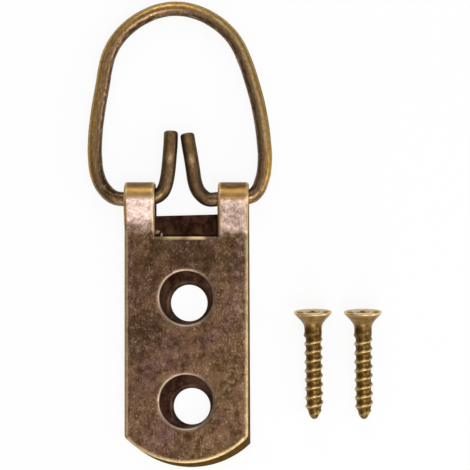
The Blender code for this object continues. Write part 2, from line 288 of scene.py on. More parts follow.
class Station(NamedTuple):
    """One cross line of the blank, where the middle of the sheet lies once it is folded.

    drift and slope say how far it lies to the right and how it leans, and opens_window that the
    window is open from it to the next one.
    """

    y: float
    z: float
    drift: float = 0.0
    slope: float = 0.0
    opens_window: bool = False


class Pattern(NamedTuple):
    """Noise of a finish, at the real size of its spots.

    stretch draws the spots out where it is below 1, and follows names the attribute that gives
    the place where the pattern follows the surface.
    """

    name: str
    size_mm: float
    detail: float
    roughness: float
    stretch: tuple = (1.0, 1.0, 1.0)
    follows: str = ""


@dataclass(frozen=True)
class PlatedSteel:
    """Brass plated steel: what the finishes of the sheet, the wire and the screws share.

    wear names the point attributes that it reads, gloss has the roughness at two levels of the
    mottle, roughened what attributes add to it, and relief_mm the depths of patterns.
    """

    name: str
    wear: tuple
    patterns: tuple
    relief_mm: tuple
    gloss: tuple
    gloss_levels: tuple = (0.3, 0.7)
    roughened: tuple = ()
    metallic: float = 0.95

    def color(self, tree: bpy.types.NodeTree, at: dict) -> bpy.types.Node:
        """Returns the finished colour, which each finish lays in its own way."""
        raise NotImplementedError

    def dulled(self, tree: bpy.types.NodeTree, at: dict, shader: bpy.types.Node) -> bpy.types.Node:
        """Returns the shader of the metal with what lies on it, which is nothing on most."""
        return shader

    def uneven(self, tree: bpy.types.NodeTree, at: dict, name: str, levels: tuple,
               shares: tuple) -> bpy.types.Node:
        """Makes a wear attribute uneven by the mottle.

        Args:
            tree: the material's node tree.
            at: by name the object coordinates, wear attributes and patterns.
            name: the attribute's name.
            levels: two levels of the mottle.
            shares: what the attribute is multiplied by at each.

        Returns:
            The uneven wear.
        """
        share = add_node(tree, "ShaderNodeMapRange", {}, {
            "Value": at["mottle"], "From Min": levels[0], "From Max": levels[1],
            "To Min": shares[0], "To Max": shares[1]})
        return add_node(tree, "ShaderNodeMath", {"operation": "MULTIPLY", "use_clamp": True}, {
            0: at[name], 1: share})

    def material(self) -> bpy.types.Material:
        """Builds the finish: its patterns and wear, colour, gloss by the mottle, and relief.

        Returns:
            The material.
        """
        metal = bpy.data.materials.new(self.name)
        metal.use_nodes = True
        tree = metal.node_tree
        at = {"place": add_node(tree, "ShaderNodeTexCoord").outputs["Object"]}
        for name in self.wear:
            reader = add_node(tree, "ShaderNodeAttribute", {"attribute_name": name})
            at[name] = reader.outputs["Fac"]
        for pattern in self.patterns:
            place = at["place"]
            if pattern.follows:
                reader = add_node(tree, "ShaderNodeAttribute", {"attribute_name": pattern.follows})
                place = reader.outputs["Vector"]
            place = add_node(tree, "ShaderNodeVectorMath", {"operation": "MULTIPLY"}, {
                0: place, 1: pattern.stretch})
            at[pattern.name] = add_node(tree, "ShaderNodeTexNoise", {}, {
                "Vector": place, "Scale": 1 / (pattern.size_mm * MM), "Detail": pattern.detail,
                "Roughness": pattern.roughness})

        roughness = add_node(tree, "ShaderNodeMapRange", {}, {
            "Value": at["mottle"], "From Min": self.gloss_levels[0],
            "From Max": self.gloss_levels[1], "To Min": self.gloss[0], "To Max": self.gloss[1]})
        for name, added in self.roughened:
            roughness = add_node(tree, "ShaderNodeMath", {"operation": "MULTIPLY_ADD"}, {
                0: at[name], 1: added, 2: roughness})
        relief = {}
        for name, depth_mm in self.relief_mm:
            relief = {"Normal": add_node(tree, "ShaderNodeBump", {}, {
                "Strength": 1.0, "Distance": depth_mm * MM, "Height": at[name], **relief})}
        shader = tree.nodes["Principled BSDF"]
        feed(shader, {"Metallic": self.metallic, "Base Color": self.color(tree, at),
                      "Roughness": roughness, **relief})
        feed(tree.nodes["Material Output"], {"Surface": self.dulled(tree, at, shader)})
        return metal


@dataclass(frozen=True)
class AntiqueBrassSheet(PlatedSteel):
    """Steel sheet, brass plated, oxidised nearly black-brown, then tumbled.

    To the eye: a satin brown face, mottled olive and plum where the oxide is thin, with pale
    pinkish specks, bright gold along the rolled edges and pinkish bare metal on the raised ramps,
    pale as painted highlight, with painted highlight bands on the barrels and painted shade in the
    window, the holes and the gap between the leaves.
    """

    name: str = "tumbled antique brass on steel sheet"
    wear: tuple = ("rub_and_highlight", "blush", "soot", "raised", "barrel", "crown")
    # The real specks are about 0.1 mm; the grain is coarser, so that it shows
    patterns: tuple = (
        Pattern("patches", 5.5, 3.0, 0.65, (1.0, 0.82, 1.0)),
        Pattern("clouds", 2.4, 6.0, 0.65, (1.0, 0.82, 1.0)),
        Pattern("mottle", 1.0, 5.0, 0.65, (1.0, 0.82, 1.0)),
        Pattern("grain", 0.32, 1.5, 0.65, (1.0, 0.82, 1.0)),
        Pattern("roll_marks", 0.6, 3.0, 0.6, (0.3, 1.0, 1.0)),
        Pattern("hollows", 2.2, 1.0, 0.5),
        Pattern("dents", 0.45, 2.0, 0.55),
    )
    relief_mm: tuple = (("hollows", 0.05), ("dents", 0.014))
    gloss: tuple = (0.50, 0.38)
    brown: str = "6B4F3C"
    olive: str = "644E2F"
    plum: str = "694C47"
    dark: str = "38260F"
    tan: str = "84674F"
    fleck: str = "AC8B72"
    shade: str = "3E2C1C"
    gold: str = "F2D29A"
    blush: str = "C8AF9C"
    ramp: str = "EAD7CC"
    ramp_pit: str = "C09078"
    barrel: str = "74532B"
    crown: str = "C2975A"
    soot: str = "200A03"
    floor: str = "4A3023"
    seam: str = "463008"
    dark_patches_mm: tuple = ((0.0, 18.0, 9.0, 0.70), (-7.5, 3.0, 6.5, 0.75), (6.5, 16.0, 5.0, 0.45),
                        (-8.5, 13.0, 5.0, 0.35), (0.5, -18.5, 6.0, 0.28))
    patch_height_mm: float = 2.5
    patch_core: float = 0.2
    patch_wander_mm: float = 3.0

    def face_color(self, tree: bpy.types.NodeTree, at: dict) -> bpy.types.Node:
        """Lays the oxide of the flat faces.

        Args:
            tree: the material's node tree.
            at: as color takes it.

        Returns:
            The colour of the faces.
        """
        patches, clouds, mottle, grain = at["patches"], at["clouds"], at["mottle"], at["grain"]
        color = layered(tree, linear(self.brown), (
            (patches, 0.50, 0.62, 0.60, self.olive), (patches, 0.49, 0.38, 0.80, self.plum),
            (clouds, 0.49, 0.35, 0.80, self.dark), (clouds, 0.52, 0.68, 0.50, self.tan)))

        # Darker patches: each has its place, reach and strength
        wander = add_node(tree, "ShaderNodeMapRange", {}, {
            "Value": clouds, "To Min": -self.patch_wander_mm * MM,
            "To Max": self.patch_wander_mm * MM})
        dark_patches = []
        for x, y, reach, most in self.dark_patches_mm:
            away = add_node(tree, "ShaderNodeVectorMath", {"operation": "DISTANCE"}, {
                0: at["place"], 1: Vector((x, y, self.patch_height_mm)) * MM})
            away = add_node(tree, "ShaderNodeMath", {"operation": "ADD"}, {0: away, 1: wander})
            dark_patches.append((away, reach * MM, reach * MM * self.patch_core, most, self.shade))
        color = layered(tree, color, dark_patches, "SMOOTHSTEP")

        # Flecks, where the oxide is rubbed off, lie thickest on the pale clouds
        crowded = add_node(tree, "ShaderNodeMapRange", {}, {
            "Value": clouds, "From Min": 0.42, "From Max": 0.60, "To Min": 0.2, "To Max": 1.0})
        flecked = add_node(tree, "ShaderNodeMapRange", {}, {
            "Value": grain, "From Min": 0.58, "From Max": 0.74})
        flecked = add_node(tree, "ShaderNodeMath", {"operation": "MULTIPLY"}, {
            0: flecked, 1: crowded})
        return layered(tree, color, (
            (mottle, 0.48, 0.36, 0.70, self.dark), (mottle, 0.53, 0.66, 0.55, self.tan),
            (grain, 0.46, 0.30, 0.40, self.dark), (flecked, 0.0, 1.0, 1.0, self.fleck)))

    def raised_color(self, tree: bpy.types.NodeTree, at: dict) -> bpy.types.Node:
        """Lays the bare metal of what stands proud: pitted ramps, pale as painted highlight, and
        barrels with roll marks and painted highlight bands.

        Args:
            tree: the material's node tree.
            at: as color takes it.

        Returns:
            The colour of the bare ramps and barrels.
        """
        marks_and_highlight = add_node(tree, "ShaderNodeMath", {"operation": "MULTIPLY_ADD"}, {
            0: at["roll_marks"], 1: 1.5, 2: at["crown"]})
        barrel = layered(tree, linear(self.barrel), ((marks_and_highlight, 0.75, 1.75, 1.0, self.crown),))
        return layered(tree, linear(self.ramp), (
            (at["mottle"], 0.56, 0.36, 0.55, self.ramp_pit),
            (at["grain"], 0.52, 0.34, 0.80, self.ramp_pit), (at["barrel"], 0.0, 1.0, 1.0, barrel)))

    def color(self, tree: bpy.types.NodeTree, at: dict) -> bpy.types.Node:
        """Lays the oxide, then what is bared, rubbed bright, and left dark, with painted
        highlights on ramps, barrels and some edges, and painted shade in the window, the holes and
        the gap between the leaves.

        Args:
            tree: the material's node tree.
            at: by name the object coordinates, wear attributes and patterns.

        Returns:
            The finished colour.
        """
        # Bare metal of the ramps, the left ramp paler as painted highlight
        bare_and_highlight = add_node(tree, "ShaderNodeMath", {"operation": "MULTIPLY_ADD"}, {
            0: at["mottle"], 1: 0.7, 2: at["raised"]})
        # Gold of the worn edges, brighter on some sides as painted highlight
        worn_and_highlit = self.uneven(tree, at, "rub_and_highlight", (0.3, 0.7), (0.7, 1.2))
        bright = layered(tree, linear(self.gold), ((at["blush"], 0.0, 1.0, 1.0, self.blush),))
        patchy = add_node(tree, "ShaderNodeMath", {"operation": "MULTIPLY_ADD"}, {
            0: at["mottle"], 1: 0.45, 2: at["clouds"]})
        # Dark oxide, with painted shade in the window, the holes and the gap between the leaves
        sooty = layered(tree, linear(self.soot), ((patchy, 0.62, 0.88, 1.0, self.floor),))
        sooty = layered(tree, linear(self.seam), ((at["blush"], 0.0, 1.0, 1.0, sooty),))
        return layered(tree, self.face_color(tree, at), (
            (bare_and_highlight, 0.43, 1.30, 1.0, self.raised_color(tree, at)), (worn_and_highlit, 0.0, 1.0, 1.0, bright),
            (at["soot"], 0.0, 1.0, 1.0, sooty)))


@dataclass(frozen=True)
class AntiqueBrassWire(PlatedSteel):
    """Drawn steel wire, brass plated and oxidised brown, with painted highlights and painted
    shade.

    To the eye: a satin olive gold on the loop's outer side, dark at its outermost edge as painted
    shade, a mauve brown on top, and dark brown on the inner side and on the turned-up ends, whose
    sides are darker as painted shade, with painted glints on the ends, painted highlight bands on
    the loop's shoulders and faint streaks along the wire.
    """

    name: str = "drawn antique brass wire"
    wear: tuple = ("outer", "prong_oxide_and_shade", "bare_and_highlight")
    # The real drawing marks are finer than 0.1 mm; the streaks, 1.4 mm long, are drawn coarser
    patterns: tuple = (
        Pattern("mottle", 0.6, 3.0, 0.6),
        Pattern("streaks", 0.30, 2.0, 0.55, (0.30 / 1.4, 1.0, 1.0), "wire"),
    )
    relief_mm: tuple = (("streaks", 0.015),)
    gloss: tuple = (0.42, 0.28)
    roughened: tuple = (("prong_oxide_and_shade", 0.22),)
    brown: str = "86694C"
    gold: str = "B08535"
    dark: str = "38230A"
    speck: str = "BFA37A"
    # Colour of the painted highlights
    rubbed_and_highlit: str = "EBC994"

    def color(self, tree: bpy.types.NodeTree, at: dict) -> bpy.types.Node:
        """Lays the oxide, gold outside and dark inside with painted shade along the outer edge,
        then the dark ends with painted shade on their sides, and the painted highlights.

        Args:
            tree: the material's node tree.
            at: by name the object coordinates, wear attributes and patterns.

        Returns:
            The finished colour.
        """
        outer, mottle, streaks = at["outer"], at["mottle"], at["streaks"]
        side = add_node(tree, "ShaderNodeMath", {"operation": "MULTIPLY_ADD"}, {
            0: streaks, 1: 1.2, 2: outer})
        color = layered(tree, linear(self.brown), (
            (side, 0.40, 1.15, 1.0, self.gold), (side, 0.25, -0.35, 0.80, self.dark),
            # Painted shade along the loop's outermost edge
            (outer, 0.72, 0.97, 1.0, self.dark), (streaks, 0.46, 0.30, 0.35, self.dark),
            (mottle, 0.46, 0.32, 0.30, self.dark), (streaks, 0.55, 0.70, 0.40, self.speck),
            (mottle, 0.56, 0.70, 0.45, self.speck)), "SMOOTHSTEP")
        bare_and_highlight = self.uneven(tree, at, "bare_and_highlight", (0.35, 0.65), (0.4, 1.2))
        # Dark ends with painted shade on their sides, then the painted highlights
        return layered(tree, color, (
            (at["prong_oxide_and_shade"], 0.0, 1.0, 1.0, self.dark), (bare_and_highlight, 0.0, 1.0, 1.0, self.rubbed_and_highlit)))


@dataclass(frozen=True)
class BrassedScrewSteel(PlatedSteel):
    """Steel screw with rolled threads, brass plated and lightly darkened.

    To the eye: a golden brown, bright gold on the thread crests and the head's rim, where the
    dark wash was rubbed off, with a painted highlight on the head's face, and brown in the
    thread's roots and in the recess. Blotched amber brown patches beside the recess are a
    painted dark reflection that dulls the head's face.
    """

    name: str = "brass plated screw steel"
    wear: tuple = ("rub_and_highlight", "soot", "painted_reflection")
    # The real grain of the wash is about 0.2 mm; the mottle is coarser, so that it shows
    patterns: tuple = (Pattern("mottle", 0.5, 3.0, 0.6), Pattern("patches", 1.6, 3.0, 0.6))
    relief_mm: tuple = (("mottle", 0.006),)
    gloss: tuple = (0.44, 0.32)
    body: str = "82632F"
    rose: str = "88694A"
    wash: str = "4C320A"
    painted_reflection: str = "96640E"
    crest: str = "E8C888"

    def color(self, tree: bpy.types.NodeTree, at: dict) -> bpy.types.Node:
        """Lays the plating, the dark wash, and the crests where it is rubbed off, with a painted
        highlight on the head's face.

        Args:
            tree: the material's node tree.
            at: by name the object coordinates, wear attributes and patterns.

        Returns:
            The finished colour.
        """
        patches, mottle = at["patches"], at["mottle"]
        worn_and_highlit = self.uneven(tree, at, "rub_and_highlight", (0.3, 0.7), (0.75, 1.15))
        return layered(tree, linear(self.body), (
            (patches, 0.48, 0.64, 0.80, self.rose), (patches, 0.46, 0.32, 0.75, self.wash),
            (mottle, 0.48, 0.30, 0.65, self.wash), (mottle, 0.58, 0.76, 0.15, self.crest),
            (at["soot"], 0.0, 1.0, 1.0, self.wash), (worn_and_highlit, 0.0, 1.0, 1.0, self.crest)))

    def dulled(self, tree: bpy.types.NodeTree, at: dict, shader: bpy.types.Node) -> bpy.types.Node:
        """Lays the matt wash and the blotched painted dark reflection on the metal.

        Args:
            tree: the material's node tree.
            at: as color takes it.
            shader: the bare metal.

        Returns:
            The shader of the metal under wash and painted dark reflection.
        """
        # Painted dark reflection in amber blotches beside the recess
        blotches = add_node(tree, "ShaderNodeMath", {"operation": "MULTIPLY_ADD"}, {
            0: at["mottle"], 1: 0.9, 2: at["painted_reflection"]})
        blotches = add_node(tree, "ShaderNodeMapRange", {"interpolation_type": "SMOOTHSTEP"}, {
            "Value": blotches, "From Min": 0.85, "From Max": 1.30, "To Max": 0.9})
        for weight, tint in ((at["soot"], self.wash), (blotches, self.painted_reflection)):
            dull = add_node(tree, "ShaderNodeBsdfDiffuse", {}, {"Color": linear(tint)})
            shader = add_node(tree, "ShaderNodeMixShader", {}, {0: weight, 1: shader, 2: dull})
        return shader


@dataclass
class FoldedStrap:
    """Strip of sheet folded double round the ring's wire, trimmed, punched and tumbled.

    A table of wear and painted light has (place, value) pairs. A pair of rubs with painted
    highlight on the ears is for ramp and barrel.
    """

    width: float = 0.0223
    sheet: float = 0.0012
    leaf_gap: float = 0.0001
    wire_diameter: float = 0.0026
    wire_clearance: float = 0.00038
    ramp_angle: float = math.radians(33.0)
    ramp_bend_radius: float = 0.0025
    window_width: float = 0.01125
    ramp_foot_to_window_edge: float = 0.0004
    axis_to_back_window_edge: float = 0.00304
    axis_to_first_hole: float = 0.01795
    hole_spacing: float = 0.0187
    last_hole_to_end: float = 0.01112
    end_rise: float = 0.00473
    end_corner_radius: float = 0.0010
    end_corner_run_out: float = math.radians(75.0)
    head_hole: float = 0.00965
    screw_hole: float = 0.0066
    countersink: float = 0.0007
    back_holes_overrun: float = 0.00100
    back_end_overrun: float = 0.00082
    back_leaf_shift: float = 0.00018
    back_leaf_lean: float = math.radians(0.3)
    punch_lean: float = math.radians(1.55)
    overrun: float = 0.001
    outline_roll: float = 0.00040
    back_hole_roll: float = 0.00022
    inner_edge_roll: float = 0.00005
    fade: float = 0.00034
    proud: float = 0.0001
    shortest_edge: float = 0.00003

    # The burr: a tooth that leans into the window, and a torn flap in its corner, set in from
    # the window's left side and its front edge
    burr_x: float = -0.00447
    tooth_length: float = 0.0007
    tooth_root_radius: float = 0.00034
    tooth_tip_radius: float = 0.00005
    tooth_flatness: float = 0.7
    tooth_forward_share: float = 0.35
    tooth_depth: float = 0.00038
    tooth_lean: float = math.radians(-84.0)
    tooth_reach: float = 0.00035
    tooth_sides: int = 7
    flap_length: float = 0.0009
    flap_root_radius: float = 0.00072
    flap_tip_radius: float = 0.00040
    flap_flatness: float = 0.35
    flap_inset: tuple = (0.00033, 0.00070)
    flap_depth: float = 0.00055
    flap_turn: float = math.radians(-12.0)
    jag: float = 0.00005

    # Wear of the rolled edges, with painted highlight: by the face's number from the outer face,
    # and by place, brighter on the right side and towards the end, dimmer on the holes' right
    # side, and brighter on the ears' right edges
    rub_shares: tuple = (0.40, 0.85, 1.0, 0.85, 0.50, 0.20)
    hole_rub_shares: tuple = (0.15, 0.70, 1.0, 0.65, 0.15, 0.0)
    hidden_roll_rub: float = 0.25
    hole_rub_and_light_by_radius: tuple = ((0.35, 1.0), (0.80, 0.4))
    window_side_rub: float = 0.12
    left_side_rub_and_light: tuple = ((0.0, 0.38), (0.030, 0.48))
    right_side_rub_and_light: tuple = ((0.0, 0.50), (0.030, 0.72))
    ear_rubs_and_light: tuple = ((0.15, 0.75), (0.80, 1.0), (0.30, 0.85), (0.85, 1.0))
    ear_edge_lit_golds: tuple = (1.0, 0.0, 1.0, 0.4)
    window_glints: tuple = ((-0.0002, 0.0044, 0.35), (-0.0021, 0.0020, 0.6), (0.0018, 0.0021, 1.0))
    glint_rings: int = 4

    # Where the ramps fade to bare metal, by y, the left ramp paler as painted highlight, and the
    # painted highlight bands of the barrel, by y from its axis
    left_fade: tuple = ((0.0200, 0.0), (0.0214, 0.14), (0.0225, 0.30), (0.0241, 0.95),
                        (0.0246, 1.0))
    right_fade: tuple = ((0.0201, 0.0), (0.0220, 0.58), (0.0246, 0.51), (0.0266, 0.62))
    barrel_start: tuple = ((-0.0004, 0.0), (0.0006, 1.0))
    crown_bands: tuple = ((0.0, 0.85), (0.0006, 0.68), (0.0010, 0.64), (0.00145, 1.0),
                          (0.0019, 0.55), (0.0023, 0.15), (0.0029, 0.0))
    right_crown_shift: float = 0.00040
    edge_crown: float = 0.40
    left_edge_raised: float = 0.75
    left_edge_crown: float = 0.30

    # Rub and painted highlight of the burr, and its oxide with painted shade; oxide with painted
    # shade, and blush, between the leaves, at their seam and deeper in
    tooth_wear: tuple = (0.8, 0.10)
    flap_wear: tuple = (0.0, 0.72)
    seam_dark: tuple = (0.93, 0.0)
    gap_dark: tuple = (0.97, 1.0)
    back_hole_soot: float = 0.80
    hole_blush: float = 0.9

    seam_cuts: int = 24
    window_end_cuts: int = 35
    barrel_steps: int = 44
    ramp_steps: int = 10
    ramp_bend_steps: int = 10
    arc_steps: int = 30
    corner_steps: int = 8
    hole_sides: int = 112
    roll_segments: int = 5
    back_hole_roll_segments: int = 3

    @property
    def barrel_middle_radius(self) -> float:
        """Radius of the middle of the rolled sheet."""
        return self.wire_diameter / 2 + self.wire_clearance + self.sheet / 2

    @property
    def axis_y(self) -> float:
        """Distance of the barrel's axis from the origin."""
        return self.hole_spacing / 2 + self.axis_to_first_hole

    @property
    def axis_z(self) -> float:
        """Height of the barrel's axis."""
        return self.barrel_middle_radius + self.sheet / 2

    @property
    def gap_middle_z(self) -> float:
        """Height of the middle of the gap between the leaves."""
        return self.sheet + self.leaf_gap / 2

    @property
    def front_z(self) -> float:
        """Height of the front face."""
        return 2 * self.sheet + self.leaf_gap

    @property
    def front_middle_z(self) -> float:
        """Height of the middle of the front leaf."""
        return self.front_z - self.sheet / 2

    @property
    def window_end_y(self) -> float:
        """Where the window ends on the front leaf."""
        return self.stations()[-2].y

    @property
    def end_to_axis(self) -> float:
        """Distance from the front leaf's rounded end to the barrel's axis."""
        return self.axis_to_first_hole + self.hole_spacing + self.last_hole_to_end

    @property
    def end_radius(self) -> float:
        """Radius of the rounded end."""
        return ((self.width / 2) ** 2 + self.end_rise ** 2) / (2 * self.end_rise)

    @property
    def rim_reach(self) -> float:
        """How far in from the outline a point still counts as its rolled edge."""
        return self.outline_roll * 1.5

    def back_drift(self, distance: float) -> float:
        """Returns how far to the right the back leaf lies, so far below the barrel's axis."""
        return self.back_leaf_shift + distance * math.tan(self.back_leaf_lean)

    def punched(self, distance: float, overrun: float) -> tuple[float, float]:
        """Returns the x and y of what is punched in the back leaf, so far below the axis."""
        return distance * math.tan(self.punch_lean), self.axis_y - distance - overrun

    def stations(self) -> list[Station]:
        """Works out the blank's cross lines.

        Returns:
            The stations, from the back leaf's end round the barrel to the front leaf's end.
        """
        radius = self.barrel_middle_radius
        back_end = self.end_to_axis + self.back_end_overrun + self.overrun
        back_window = self.axis_to_back_window_edge
        lines = [
            Station(self.axis_y - back_end, self.sheet / 2, self.back_drift(back_end)),
            Station(self.axis_y - back_window, self.sheet / 2, self.back_drift(back_window),
                    math.tan(self.punch_lean), True),
        ]
        for step in range(self.barrel_steps + 1):
            share = step / self.barrel_steps
            angle = (math.pi + self.ramp_angle) * share - math.pi / 2
            lines.append(Station(self.axis_y + radius * math.cos(angle),
                                 self.axis_z + radius * math.sin(angle),
                                 self.back_leaf_shift * (1 - share), opens_window=True))
        drop = self.axis_z + radius - self.front_middle_z
        bends = (radius + self.ramp_bend_radius) * (1 - math.cos(self.ramp_angle))
        slope = (drop - bends) / math.sin(self.ramp_angle)
        ramp_top = lines[-1]
        for step in range(1, self.ramp_steps):
            down = slope * step / self.ramp_steps
            lines.append(Station(ramp_top.y - down * math.cos(self.ramp_angle),
                                 ramp_top.z - down * math.sin(self.ramp_angle),
                                 opens_window=True))
        level_y = ramp_top.y - slope * math.cos(self.ramp_angle)
        level_y -= self.ramp_bend_radius * math.sin(self.ramp_angle)
        for step in range(self.ramp_bend_steps + 1):
            angle = self.ramp_angle * (1 - step / self.ramp_bend_steps)
            rise = self.ramp_bend_radius * (1 - math.cos(angle))
            lines.append(Station(level_y + self.ramp_bend_radius * math.sin(angle),
                                 self.front_middle_z + rise, opens_window=True))
        window_end = lines[-1].y - self.ramp_foot_to_window_edge
        lines.append(Station(window_end, self.front_middle_z))
        lines.append(Station(self.axis_y - self.end_to_axis - self.overrun, self.front_middle_z))
        return lines

    def folded_blank(self) -> bpy.types.Object:
        """Lays the blank onto its stations, opens its window and gives it its thickness.

        Returns:
            The folded blank, its thickness still a modifier.
        """
        lines = self.stations()
        columns = (-self.width / 2, -self.window_width / 2, self.window_width / 2, self.width / 2)
        bm = bmesh.new()
        bmesh.ops.create_grid(bm, x_segments=len(columns) - 1, y_segments=len(lines) - 1, size=1.0)
        bm.verts.ensure_lookup_table()
        window = []
        for face in bm.faces:
            row = min(vert.index for vert in face.verts) // len(columns)
            in_middle = {vert.index % len(columns) for vert in face.verts} == {1, 2}
            if in_middle and lines[row].opens_window:
                window.append(face)
        for vert in bm.verts:
            line = lines[vert.index // len(columns)]
            x = columns[vert.index % len(columns)]
            vert.co = Vector((x + line.drift, line.y + x * line.slope, line.z))
        bmesh.ops.delete(bm, geom=window, context="FACES")
        blank = add_mesh_object("blank", bm)
        for _ in Surface:
            blank.data.materials.append(None)
        solidify = blank.modifiers.new("sheet", "SOLIDIFY")
        solidify.thickness = self.sheet
        solidify.offset = 0.0
        solidify.use_even_offset = True
        solidify.material_offset = Surface.OUTER
        solidify.material_offset_rim = Surface.WALL
        return blank

    def punch(self, name: str, bm: bmesh.types.BMesh) -> bpy.types.Object:
        """Makes a tool of the press from its shape; what it cuts counts as the sheet's wall.

        Args:
            name: the tool's name.
            bm: its shape.

        Returns:
            The tool.
        """
        bmesh.ops.recalc_face_normals(bm, faces=bm.faces)
        for face in bm.faces:
            face.material_index = Surface.WALL
        tool = add_mesh_object(name, bm)
        for _ in Surface:
            tool.data.materials.append(None)
        return tool

    def end_die(self, name: str, centre_x: float, end_y: float, half_width: float,
                low: float, high: float) -> bpy.types.Object:
        """Makes the die that trims a leaf's end to its arc and rounded corners.

        Args:
            name: the tool's name.
            centre_x: where the arc's middle lies across the strap.
            end_y: where the arc's end lies along the strap.
            half_width: half the width between the corners.
            low: height of the die's lower face.
            high: height of its upper face.

        Returns:
            The die, a slab with the leaf's end let into it.
        """
        corner = self.end_corner_radius
        corner_x = half_width - corner
        turn = math.asin(corner_x / (self.end_radius - corner))
        corner_y = -(self.end_radius - corner) * math.cos(turn)
        right = []
        for step in range(self.arc_steps):
            angle = turn * step / self.arc_steps
            right.append((self.end_radius * math.sin(angle), -self.end_radius * math.cos(angle)))
        for step in range(self.corner_steps + 1):
            angle = turn + (self.end_corner_run_out - turn) * step / self.corner_steps
            right.append((corner_x + corner * math.sin(angle),
                          corner_y - corner * math.cos(angle)))
        x, y = right[-1]
        reach = half_width + self.overrun
        right.append((reach, y + (reach - x) * math.tan(self.end_corner_run_out)))
        bm = bmesh.new()
        edge = []
        for x, y in [(-x, y) for x, y in reversed(right[1:])] + right:
            edge.append(bm.verts.new((centre_x + x, end_y + self.end_radius + y, low)))
        rim = [bm.edges.new(pair) for pair in zip(edge, edge[1:])]
        for vert in verts_in(bmesh.ops.extrude_edge_only(bm, edges=rim)["geom"]):
            vert.co.y = end_y - 2 * self.overrun
        raised = bmesh.ops.extrude_face_region(bm, geom=bm.faces[:])["geom"]
        bmesh.ops.translate(bm, verts=verts_in(raised), vec=(0.0, 0.0, high - low))
        return self.punch(name, bm)

    def head_hole_punch(self, name: str, x: float, y: float) -> bpy.types.Object:
        """Makes the round punch of the front leaf, which lets a screw's head through.

        Args:
            name: the tool's name.
            x: where it stands across the strap.
            y: where it stands along the strap.

        Returns:
            The punch.
        """
        bm = bmesh.new()
        top = self.front_z + self.overrun
        bmesh.ops.create_cone(bm, cap_ends=True, segments=self.hole_sides,
                              radius1=self.head_hole / 2, radius2=self.head_hole / 2,
                              depth=top - self.gap_middle_z)
        bmesh.ops.translate(bm, verts=bm.verts, vec=(x, y, (top + self.gap_middle_z) / 2))
        return self.punch(name, bm)

    def screw_hole_punch(self, name: str, x: float, y: float) -> bpy.types.Object:
        """Makes the back leaf's smaller punch with its countersink, open into the gap.

        Args:
            name: the tool's name.
            x: where it stands across the strap.
            y: where it stands along the strap.

        Returns:
            The punch.
        """
        hole = self.screw_hole / 2
        rim = hole + self.countersink
        profile = ((0.0, self.gap_middle_z), (rim, self.gap_middle_z), (rim, self.sheet),
                   (hole, self.sheet - self.countersink), (hole, -self.overrun),
                   (0.0, -self.overrun))
        bm = turned(profile, self.hole_sides)
        bmesh.ops.translate(bm, verts=bm.verts, vec=(x, y, 0.0))
        return self.punch(name, bm)

    def pressed(self) -> bmesh.types.BMesh:
        """Folds, trims and punches the strap.

        Returns:
            The strap, its edges still square.
        """
        end_x, centre_y = self.punched(self.end_to_axis - self.end_radius, self.back_end_overrun)
        off_centre = abs(end_x - self.back_drift(self.end_to_axis))
        tools = [
            self.end_die("front_end_die", 0.0, self.axis_y - self.end_to_axis, self.width / 2,
                         self.gap_middle_z, self.front_z + self.overrun),
            self.end_die("back_end_die", end_x, centre_y - self.end_radius,
                         self.width / 2 + off_centre, -self.overrun, self.gap_middle_z),
        ]
        for number in range(2):
            distance = self.axis_to_first_hole + number * self.hole_spacing
            tools.append(self.head_hole_punch(f"head_punch_{number}", 0.0, self.axis_y - distance))
            x, y = self.punched(distance, self.back_holes_overrun)
            tools.append(self.screw_hole_punch(f"screw_punch_{number}", x, y))
        bm = cut(self.folded_blank(), tools, self.shortest_edge)
        window_end = []
        for edge in self.between(bm, Surface.OUTER, Surface.WALL):
            if all(abs(vert.co.y - self.window_end_y) < MERGE and vert.co.z > self.gap_middle_z
                   for vert in edge.verts):
                window_end.append(edge)
        bmesh.ops.subdivide_edges(bm, edges=window_end, cuts=self.window_end_cuts)
        return bm

    def between(self, bm: bmesh.types.BMesh, first: Surface,
                second: Surface) -> list[bmesh.types.BMEdge]:
        """Finds the edges where two kinds of surface meet.

        Args:
            bm: the strap.
            first: one kind.
            second: the other.

        Returns:
            The edges.
        """
        found = []
        for edge in bm.edges:
            if {face.material_index for face in edge.link_faces} == {first, second}:
                found.append(edge)
        return found

    def roll(self, bm: bmesh.types.BMesh, edges: list[bmesh.types.BMEdge], radius: float,
             segments: int) -> None:
        """Rounds edges as the press and the tumbling drum leave them.

        Args:
            bm: the strap.
            edges: the edges that are rounded.
            radius: their radius.
            segments: faces across the rounding.
        """
        made = bmesh.ops.bevel(bm, geom=edges, offset=radius, offset_type="OFFSET",
                               affect="EDGES", segments=segments, profile=0.5, material=-1,
                               clamp_overlap=False)
        for face in made["faces"]:
            face.material_index = Surface.ROLLED

    def rim_rings(self, bm: bmesh.types.BMesh) -> dict[bmesh.types.BMVert, int]:
        """Counts how far the vertices of rolled edges lie from the outer face.

        Args:
            bm: the strap.

        Returns:
            For each such vertex the number of faces between it and the outer face.
        """
        kinds = {}
        for vert in bm.verts:
            kinds[vert] = {face.material_index for face in vert.link_faces}
        front = [vert for vert in bm.verts if {Surface.OUTER, Surface.ROLLED} <= kinds[vert]]
        rings = dict.fromkeys(front, 0)
        for ring in range(1, self.roll_segments + 1):
            reached = []
            for vert in front:
                for edge in vert.link_edges:
                    other = edge.other_vert(vert)
                    if other not in rings and Surface.ROLLED in kinds[other]:
                        rings[other] = ring
                        reached.append(other)
            front = reached
        return rings

    def near_hole(self, point: Vector) -> bool:
        """Tells whether a point is at one of the screw holes.

        Args:
            point: the point.

        Returns:
            Whether it lies in a hole or on its rolled rim.
        """
        reach = self.head_hole / 2 + self.outline_roll + self.fade * 1.5
        first_y = self.axis_y - self.axis_to_first_hole
        return any(math.hypot(point.x, point.y - hole_y) < reach
                   for hole_y in (first_y, first_y - self.hole_spacing))

